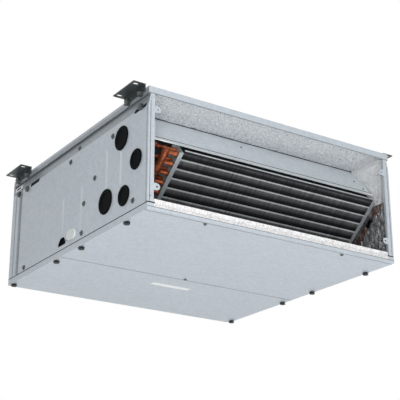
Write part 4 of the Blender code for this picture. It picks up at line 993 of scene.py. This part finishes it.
def makeLabels():
    # blank strips on the left side and a blank plate label on the rear access panel
    bm = bmesh.new()
    half = labels["width"] / 2
    for back, low, high in labels["strips"]:
        addBox(bm, spot(-labels["thickness"], back - half, low), spot(0.02, back + half, high))
    finishPiece("blankStrips", bm, stripFilm)
    (across, back), (length, width) = labels["under"]
    bm = bmesh.new()
    addBox(bm, spot(across - length / 2, back - width / 2, -labels["thickness"]),
           spot(across + length / 2, back + width / 2, 0.02))
    finishPiece("blankLabel", bm, labelFilm, "rear_access_panel")


gapShadeStrips = {
    # painted shade: dark strips standing in for the shade where sheets meet or fold: from and to, in millimetres
    "foot": 1.9, "groove": (651.6, 6.4), "rearFold": (686.0, 0.9),
    "ceiling": (130.6, 2.6), "hem": (36.4, 0.9), "proud": 0.12,
    "postDepth": (1.02, 1.28), "postFoot": (0.6, 19.5, 15.2, 18.9), "postHole": (4, 14.5, 18.8, 60),
}


def addStrip(bm, low, high):
    addBox(bm, spot(*low), spot(*high))


def makeGapShade():
    wide = caseWidth / mm
    deep = caseDepth / mm
    proud = gapShadeStrips["proud"]
    bm = bmesh.new()
    # painted shade: a dark strip in the gap along each side's foot
    for across in (-0.15, wide - 0.35):
        addStrip(bm, (across, 1.2, 15.1), (across + 0.5, deep - 1.2, 15.1 + gapShadeStrips["foot"]))
    finishPiece("footGapShade", bm, blackFoam)
    bm = bmesh.new()
    # painted shade along each side's rear fold and in its groove
    back, width = gapShadeStrips["rearFold"]
    for across in (-proud, wide - 0.3):
        addStrip(bm, (across, back, 19), (across + 0.3 + proud, back + width, 248))
    back, width = gapShadeStrips["groove"]
    for across in (3.7, wide - 4.3):
        addStrip(bm, (across, back + 2.4, 19), (across + 0.6, back + width, 247))
    finishPiece("sideGapShade", bm, rubberAndSeamShade)

    # behind each post: painted shade, dark strips standing in for the shade seen through the slot at its foot and its
    # screw hole
    bm = bmesh.new()
    near, far = gapShadeStrips["postDepth"]
    for start, end, foot, head in (gapShadeStrips["postFoot"], gapShadeStrips["postHole"]):
        addStrip(bm, (start, near, foot), (end, far, head))
        addStrip(bm, (wide - end, near, foot), (wide - start, far, head))
    finishPiece("postGapShade", bm, blackFoam)

    bm = bmesh.new()
    # painted shade in the split between the access panels
    addStrip(bm, (1.2, 407.2, -proud), (wide - 1.2, 408.8, 0.4))
    finishPiece("splitGapShade", bm, blackFoam, "rear_access_panel")

    # painted shade along the baffle's joint with the ceiling liner and under its hem
    bm = bmesh.new()
    back, width = gapShadeStrips["ceiling"]
    addStrip(bm, (7, back, 284.9), (wide - 9, back + width, 288.5))
    inward, width = gapShadeStrips["hem"]
    addSlab(bm, [coilSpot(x, down, depth) for x in (8, wide - 8) for down in (-0.45, -3.6)
                 for depth in (inward + 8.6, inward + 8.6 + width)])
    finishPiece("baffleGapShade", bm, blackFoam)
    bm = bmesh.new()
    addStrip(bm, (wide - 15, back - 1.4, 282.5), (wide - 9.5, back, 288.5))
    finishPiece("baffleClip", bm, darkZinc)


windows = {
    # middle back from the front, middle up, half length and half height of the dark foam behind each slot
    "left": ((37, 250.5), (576, 249)), "right": ((576, 249),), "half": (33, 8), "from": 5.4, "thickness": 1.2,
}


def makeWindowSeals():
    bm = bmesh.new()
    length, height = windows["half"]
    wide = caseWidth / mm
    for side in ("left", "right"):
        for back, up in windows[side]:
            low = windows["from"] if side == "left" else wide - windows["from"] - windows["thickness"]
            addStrip(bm, (low, max(back - length, 8.5), up - height),
                     (low + windows["thickness"], back + length, up + height))
    finishPiece("windowSeals", bm, slateFoam)


cornerClips = {"back": (655, 701), "up": (257, 271), "thickness": 1.1, "slot": (667, 691, 262, 266), "screw": (668, 244)}


def makeCornerClips():
    # a bright slotted clip at each rear top corner, over the joggle
    plates = bmesh.new()
    slotShade = bmesh.new()
    heads = bmesh.new()
    for side, way in (("left", -1), ("right", 1)):
        (back, rear), (low, high) = cornerClips["back"], cornerClips["up"]
        out = Vector((way * cornerClips["thickness"] * mm, 0, 0))
        foot = [sidePlace(side, b, low) for b in (back, rear)]
        head = [sidePlace(side, b, high) for b in (back, rear)]
        addSlab(plates, [corner + shift for corner in foot + head for shift in (Vector(), out)])
        # painted shade: a dark slab in each clip's slot, standing in for the shade seen through it
        near, far, bottom, top = cornerClips["slot"]
        marks = [sidePlace(side, b, up) + out * 0.9 for b in (near, far) for up in (bottom, top)]
        addSlab(slotShade, [corner + shift for corner in marks for shift in (Vector(), out * 0.3)])
        addBolt(heads, sidePlace(side, *cornerClips["screw"]), (way, 0, 0))
    finishPiece("cornerClips", plates, clipZinc)
    finishPiece("clipSlotShade", slotShade, blackFoam)
    finishPiece("clipScrews", heads, boltZinc, smooth=30)


hoseClip = {"back": 369, "up": 33, "size": (9, 7), "out": 3.0}


def makeHoseClip():
    # small dark spring clip between the drain hole and the cap
    bm = bmesh.new()
    back, up = hoseClip["back"], hoseClip["up"]
    length, height = hoseClip["size"]
    addStrip(bm, (-hoseClip["out"], back - length / 2, up - 1.2), (-0.05, back + length / 2, up + 1.2))
    addStrip(bm, (-hoseClip["out"] * 0.6, back - 1.4, up - height / 2), (-0.05, back + 1.4, up + height / 2))
    finishPiece("hoseClip", bm, darkZinc)


drainHoleShade = {"back": 402, "up": 27, "radius": 24, "across": (2.0, 5.5), "foot": 16.2, "hole": 8.6,
             "spigot": (388.5, 35), "steps": 40}


def makeDrainHoleShade():
    # painted shade: a dark slab behind the half-round hole, standing in for the shade inside it, with the spigot
    # passing through
    bm = bmesh.new()
    near, far = drainHoleShade["across"]
    low = math.asin((drainHoleShade["foot"] - drainHoleShade["up"]) / drainHoleShade["radius"])
    rims = []
    for across in (near, far):
        outer = []
        inner = []
        for step in range(drainHoleShade["steps"] + 1):
            turn = low + (math.pi - 2 * low) * step / drainHoleShade["steps"]
            outer.append((drainHoleShade["back"] + drainHoleShade["radius"] * math.cos(turn),
                          drainHoleShade["up"] + drainHoleShade["radius"] * math.sin(turn)))
        back, up = drainHoleShade["spigot"]
        for b, u in outer:
            away = Vector((b - back, u - up)).normalized() * drainHoleShade["hole"]
            inner.append((back + away.x, up + away.y))
        rims.append(([bm.verts.new(spot(across, b, u)) for b, u in outer],
                     [bm.verts.new(spot(across, b, u)) for b, u in inner]))
    (outerNear, innerNear), (outerFar, innerFar) = rims
    count = len(outerNear)
    for number in range(count):
        after = (number + 1) % count
        for a, b in ((outerNear, outerFar), (innerFar, innerNear), (innerNear, outerNear), (outerFar, innerFar)):
            bm.faces.new((a[number], a[after], b[after], b[number]))
    bmesh.ops.recalc_face_normals(bm, faces=bm.faces)
    finishPiece("drainHoleShade", bm, blackFoam)


baffleScrews = {"places": ((24, 58), (330, 120), (690, 62), (680, 96)), "head": 2.6, "height": 1.4}


def makeBaffleScrews():
    # across, and up along the baffle from the coil's top corner
    bm = bmesh.new()
    for across, inward in baffleScrews["places"]:
        place = coilSpot(across, -1.2, inward)
        addDisc(bm, place, -coilDown, baffleScrews["head"] * mm, baffleScrews["height"] * mm, 6)
    finishPiece("baffleScrews", bm, darkZinc, smooth=30)


def makePanFace():
    # speckled facing on the drain pan's front wall
    bm = bmesh.new()
    addBox(bm, spot(18, 1.3, 5), spot(caseWidth / mm - 18, 1.95, 26.4))
    finishPiece("panFacing", bm, panFoil)


makeCasingScrews()
makeBracketBolts()
makeFins()
makeCoilTop()
makeCeilingLiner()
makeWallLiner()
makeUpperWallLight()
makeHairpins()
makeHeaders()
makeBlowerWraps()
makeTerminalLid()
makeLabels()
makeGapShade()
makePanFace()
makeWindowSeals()
makeCornerClips()
makeHoseClip()
makeDrainHoleShade()
makeBaffleScrews()
print("pieces made")


# Stage, light and camera

stage = {"floor": -2.6, "size": 24.0, "pale": (0.80, 0.80, 0.80)}


def makeFloor():
    bm = bmesh.new()
    bmesh.ops.create_grid(bm, x_segments=1, y_segments=1, size=stage["size"] / 2)
    mesh = bpy.data.meshes.new("floor")
    bm.to_mesh(mesh)
    bm.free()
    floor = bpy.data.objects.new("floor", mesh)
    floor.location.z = stage["floor"]
    bpy.context.scene.collection.objects.link(floor)
    look, tree, shader = newMaterial("paleFloor", 0.0, 0.9)
    shader.inputs["Base Color"].default_value = (*stage["pale"], 1.0)
    glow = addNode(tree, "ShaderNodeEmission", {"Color": (1, 1, 1, 1), "Strength": 1.0})
    path = tree.nodes.new("ShaderNodeLightPath").outputs
    seen = addNode(tree, "ShaderNodeMath", {0: path["Is Camera Ray"], 1: path["Is Glossy Ray"]}, operation="MAXIMUM")
    share = addNode(tree, "ShaderNodeMath", {0: seen.outputs[0], 1: 0.6}, operation="MULTIPLY")
    both = addNode(tree, "ShaderNodeMixShader", {0: share.outputs[0], 1: shader.outputs[0], 2: glow.outputs[0]})
    # clear from below, so that the underside can be looked at
    under = tree.nodes.new("ShaderNodeNewGeometry").outputs["Backfacing"]
    clear = tree.nodes.new("ShaderNodeBsdfTransparent").outputs[0]
    either = addNode(tree, "ShaderNodeMixShader", {0: under, 1: both.outputs[0], 2: clear})
    tree.links.new(either.outputs[0], tree.nodes["Material Output"].inputs["Surface"])
    mesh.materials.append(look)


ambient = {"colour": (0.92, 0.96, 1.0), "strength": 0.32}


def makeWorld():
    world = bpy.data.worlds.new("paleRoom")
    bpy.context.scene.world = world
    world.use_nodes = True
    tree = world.node_tree
    tree.nodes.clear()
    path = tree.nodes.new("ShaderNodeLightPath").outputs
    seen = addNode(tree, "ShaderNodeMath", {0: path["Is Camera Ray"], 1: path["Is Transmission Ray"]},
                   operation="MAXIMUM")
    soft = addNode(tree, "ShaderNodeBackground", {"Color": (*ambient["colour"], 1), "Strength": ambient["strength"]})
    white = addNode(tree, "ShaderNodeBackground", {"Color": (1, 1, 1, 1), "Strength": 1.0})
    grey = addNode(tree, "ShaderNodeBackground", {"Color": (1, 1, 1, 1), "Strength": 0.8})
    mirror = addNode(tree, "ShaderNodeMixShader", {0: path["Is Glossy Ray"], 1: soft.outputs[0], 2: grey.outputs[0]})
    both = addNode(tree, "ShaderNodeMixShader", {0: seen.outputs[0], 1: mirror.outputs[0], 2: white.outputs[0]})
    out = tree.nodes.new("ShaderNodeOutputWorld")
    tree.links.new(both.outputs[0], out.inputs["Surface"])


lamps = {
    # place, aim, size, watts
    "key": ((-1.75, -2.85, -1.3), (0.05, -0.1, -0.15), 1.8, 101),
    "frontFill": ((-0.2, -3.2, -0.1), (0.0, -0.2, -0.15), 2.0, 9),
    "underFill": ((0.5, -0.9, -2.4), (0.0, 0.0, -0.3), 2.4, 33),
    "rearFill": ((0.8, 3.2, 1.4), (0.0, 0.0, -0.15), 2.4, 46),
    "rightFill": ((3.2, 0.4, 0.6), (0.0, 0.0, -0.15), 2.4, 36),
    "topFill": ((0.0, -0.2, 2.8), (0.0, 0.0, 0.0), 2.6, 40),
}


def aimAt(place, aim):
    return (Vector(aim) - Vector(place)).to_track_quat("-Z", "Y").to_euler()


def makeLamps():
    for name, (place, aim, size, watts) in lamps.items():
        lamp = bpy.data.lights.new(name, "AREA")
        lamp.shape = "DISK"
        lamp.size = size
        lamp.energy = watts
        holder = bpy.data.objects.new(name, lamp)
        holder.location = place
        holder.rotation_euler = aimAt(place, aim)
        holder.visible_camera = False
        holder.visible_glossy = name != "key"  # no glare of the key lamp on the side sheet
        bpy.context.scene.collection.objects.link(holder)


view = {
    # seen from below, to the left of the front; from the casing's front left bottom corner
    "place": (-1121.5, -1883.3, -804.5),
    "turn": -33.72, "tip": 20.62, "lean": 0.03,
    "focal": 1094.6, "frame": 400,
}


def makeCamera():
    lens = bpy.data.cameras.new("photoCamera")
    lens.sensor_width = 36.0
    lens.sensor_fit = "HORIZONTAL"
    lens.lens = lens.sensor_width * view["focal"] / view["frame"]
    lens.clip_end = 100
    camera = bpy.data.objects.new("photoCamera", lens)
    look = (Matrix.Rotation(math.radians(view["turn"]), 4, "Z") @ Matrix.Rotation(math.radians(view["tip"]), 4, "X")
            @ Matrix.Rotation(math.radians(view["lean"]), 4, "Y") @ Matrix.Rotation(math.radians(90), 4, "X"))
    camera.matrix_world = Matrix.Translation(spot(*view["place"])) @ look
    bpy.context.scene.collection.objects.link(camera)
    bpy.context.scene.camera = camera


makeFloor()
makeWorld()
makeLamps()
makeCamera()
bpy.context.scene.view_settings.view_transform = "Standard"
print("stage, light and camera set")
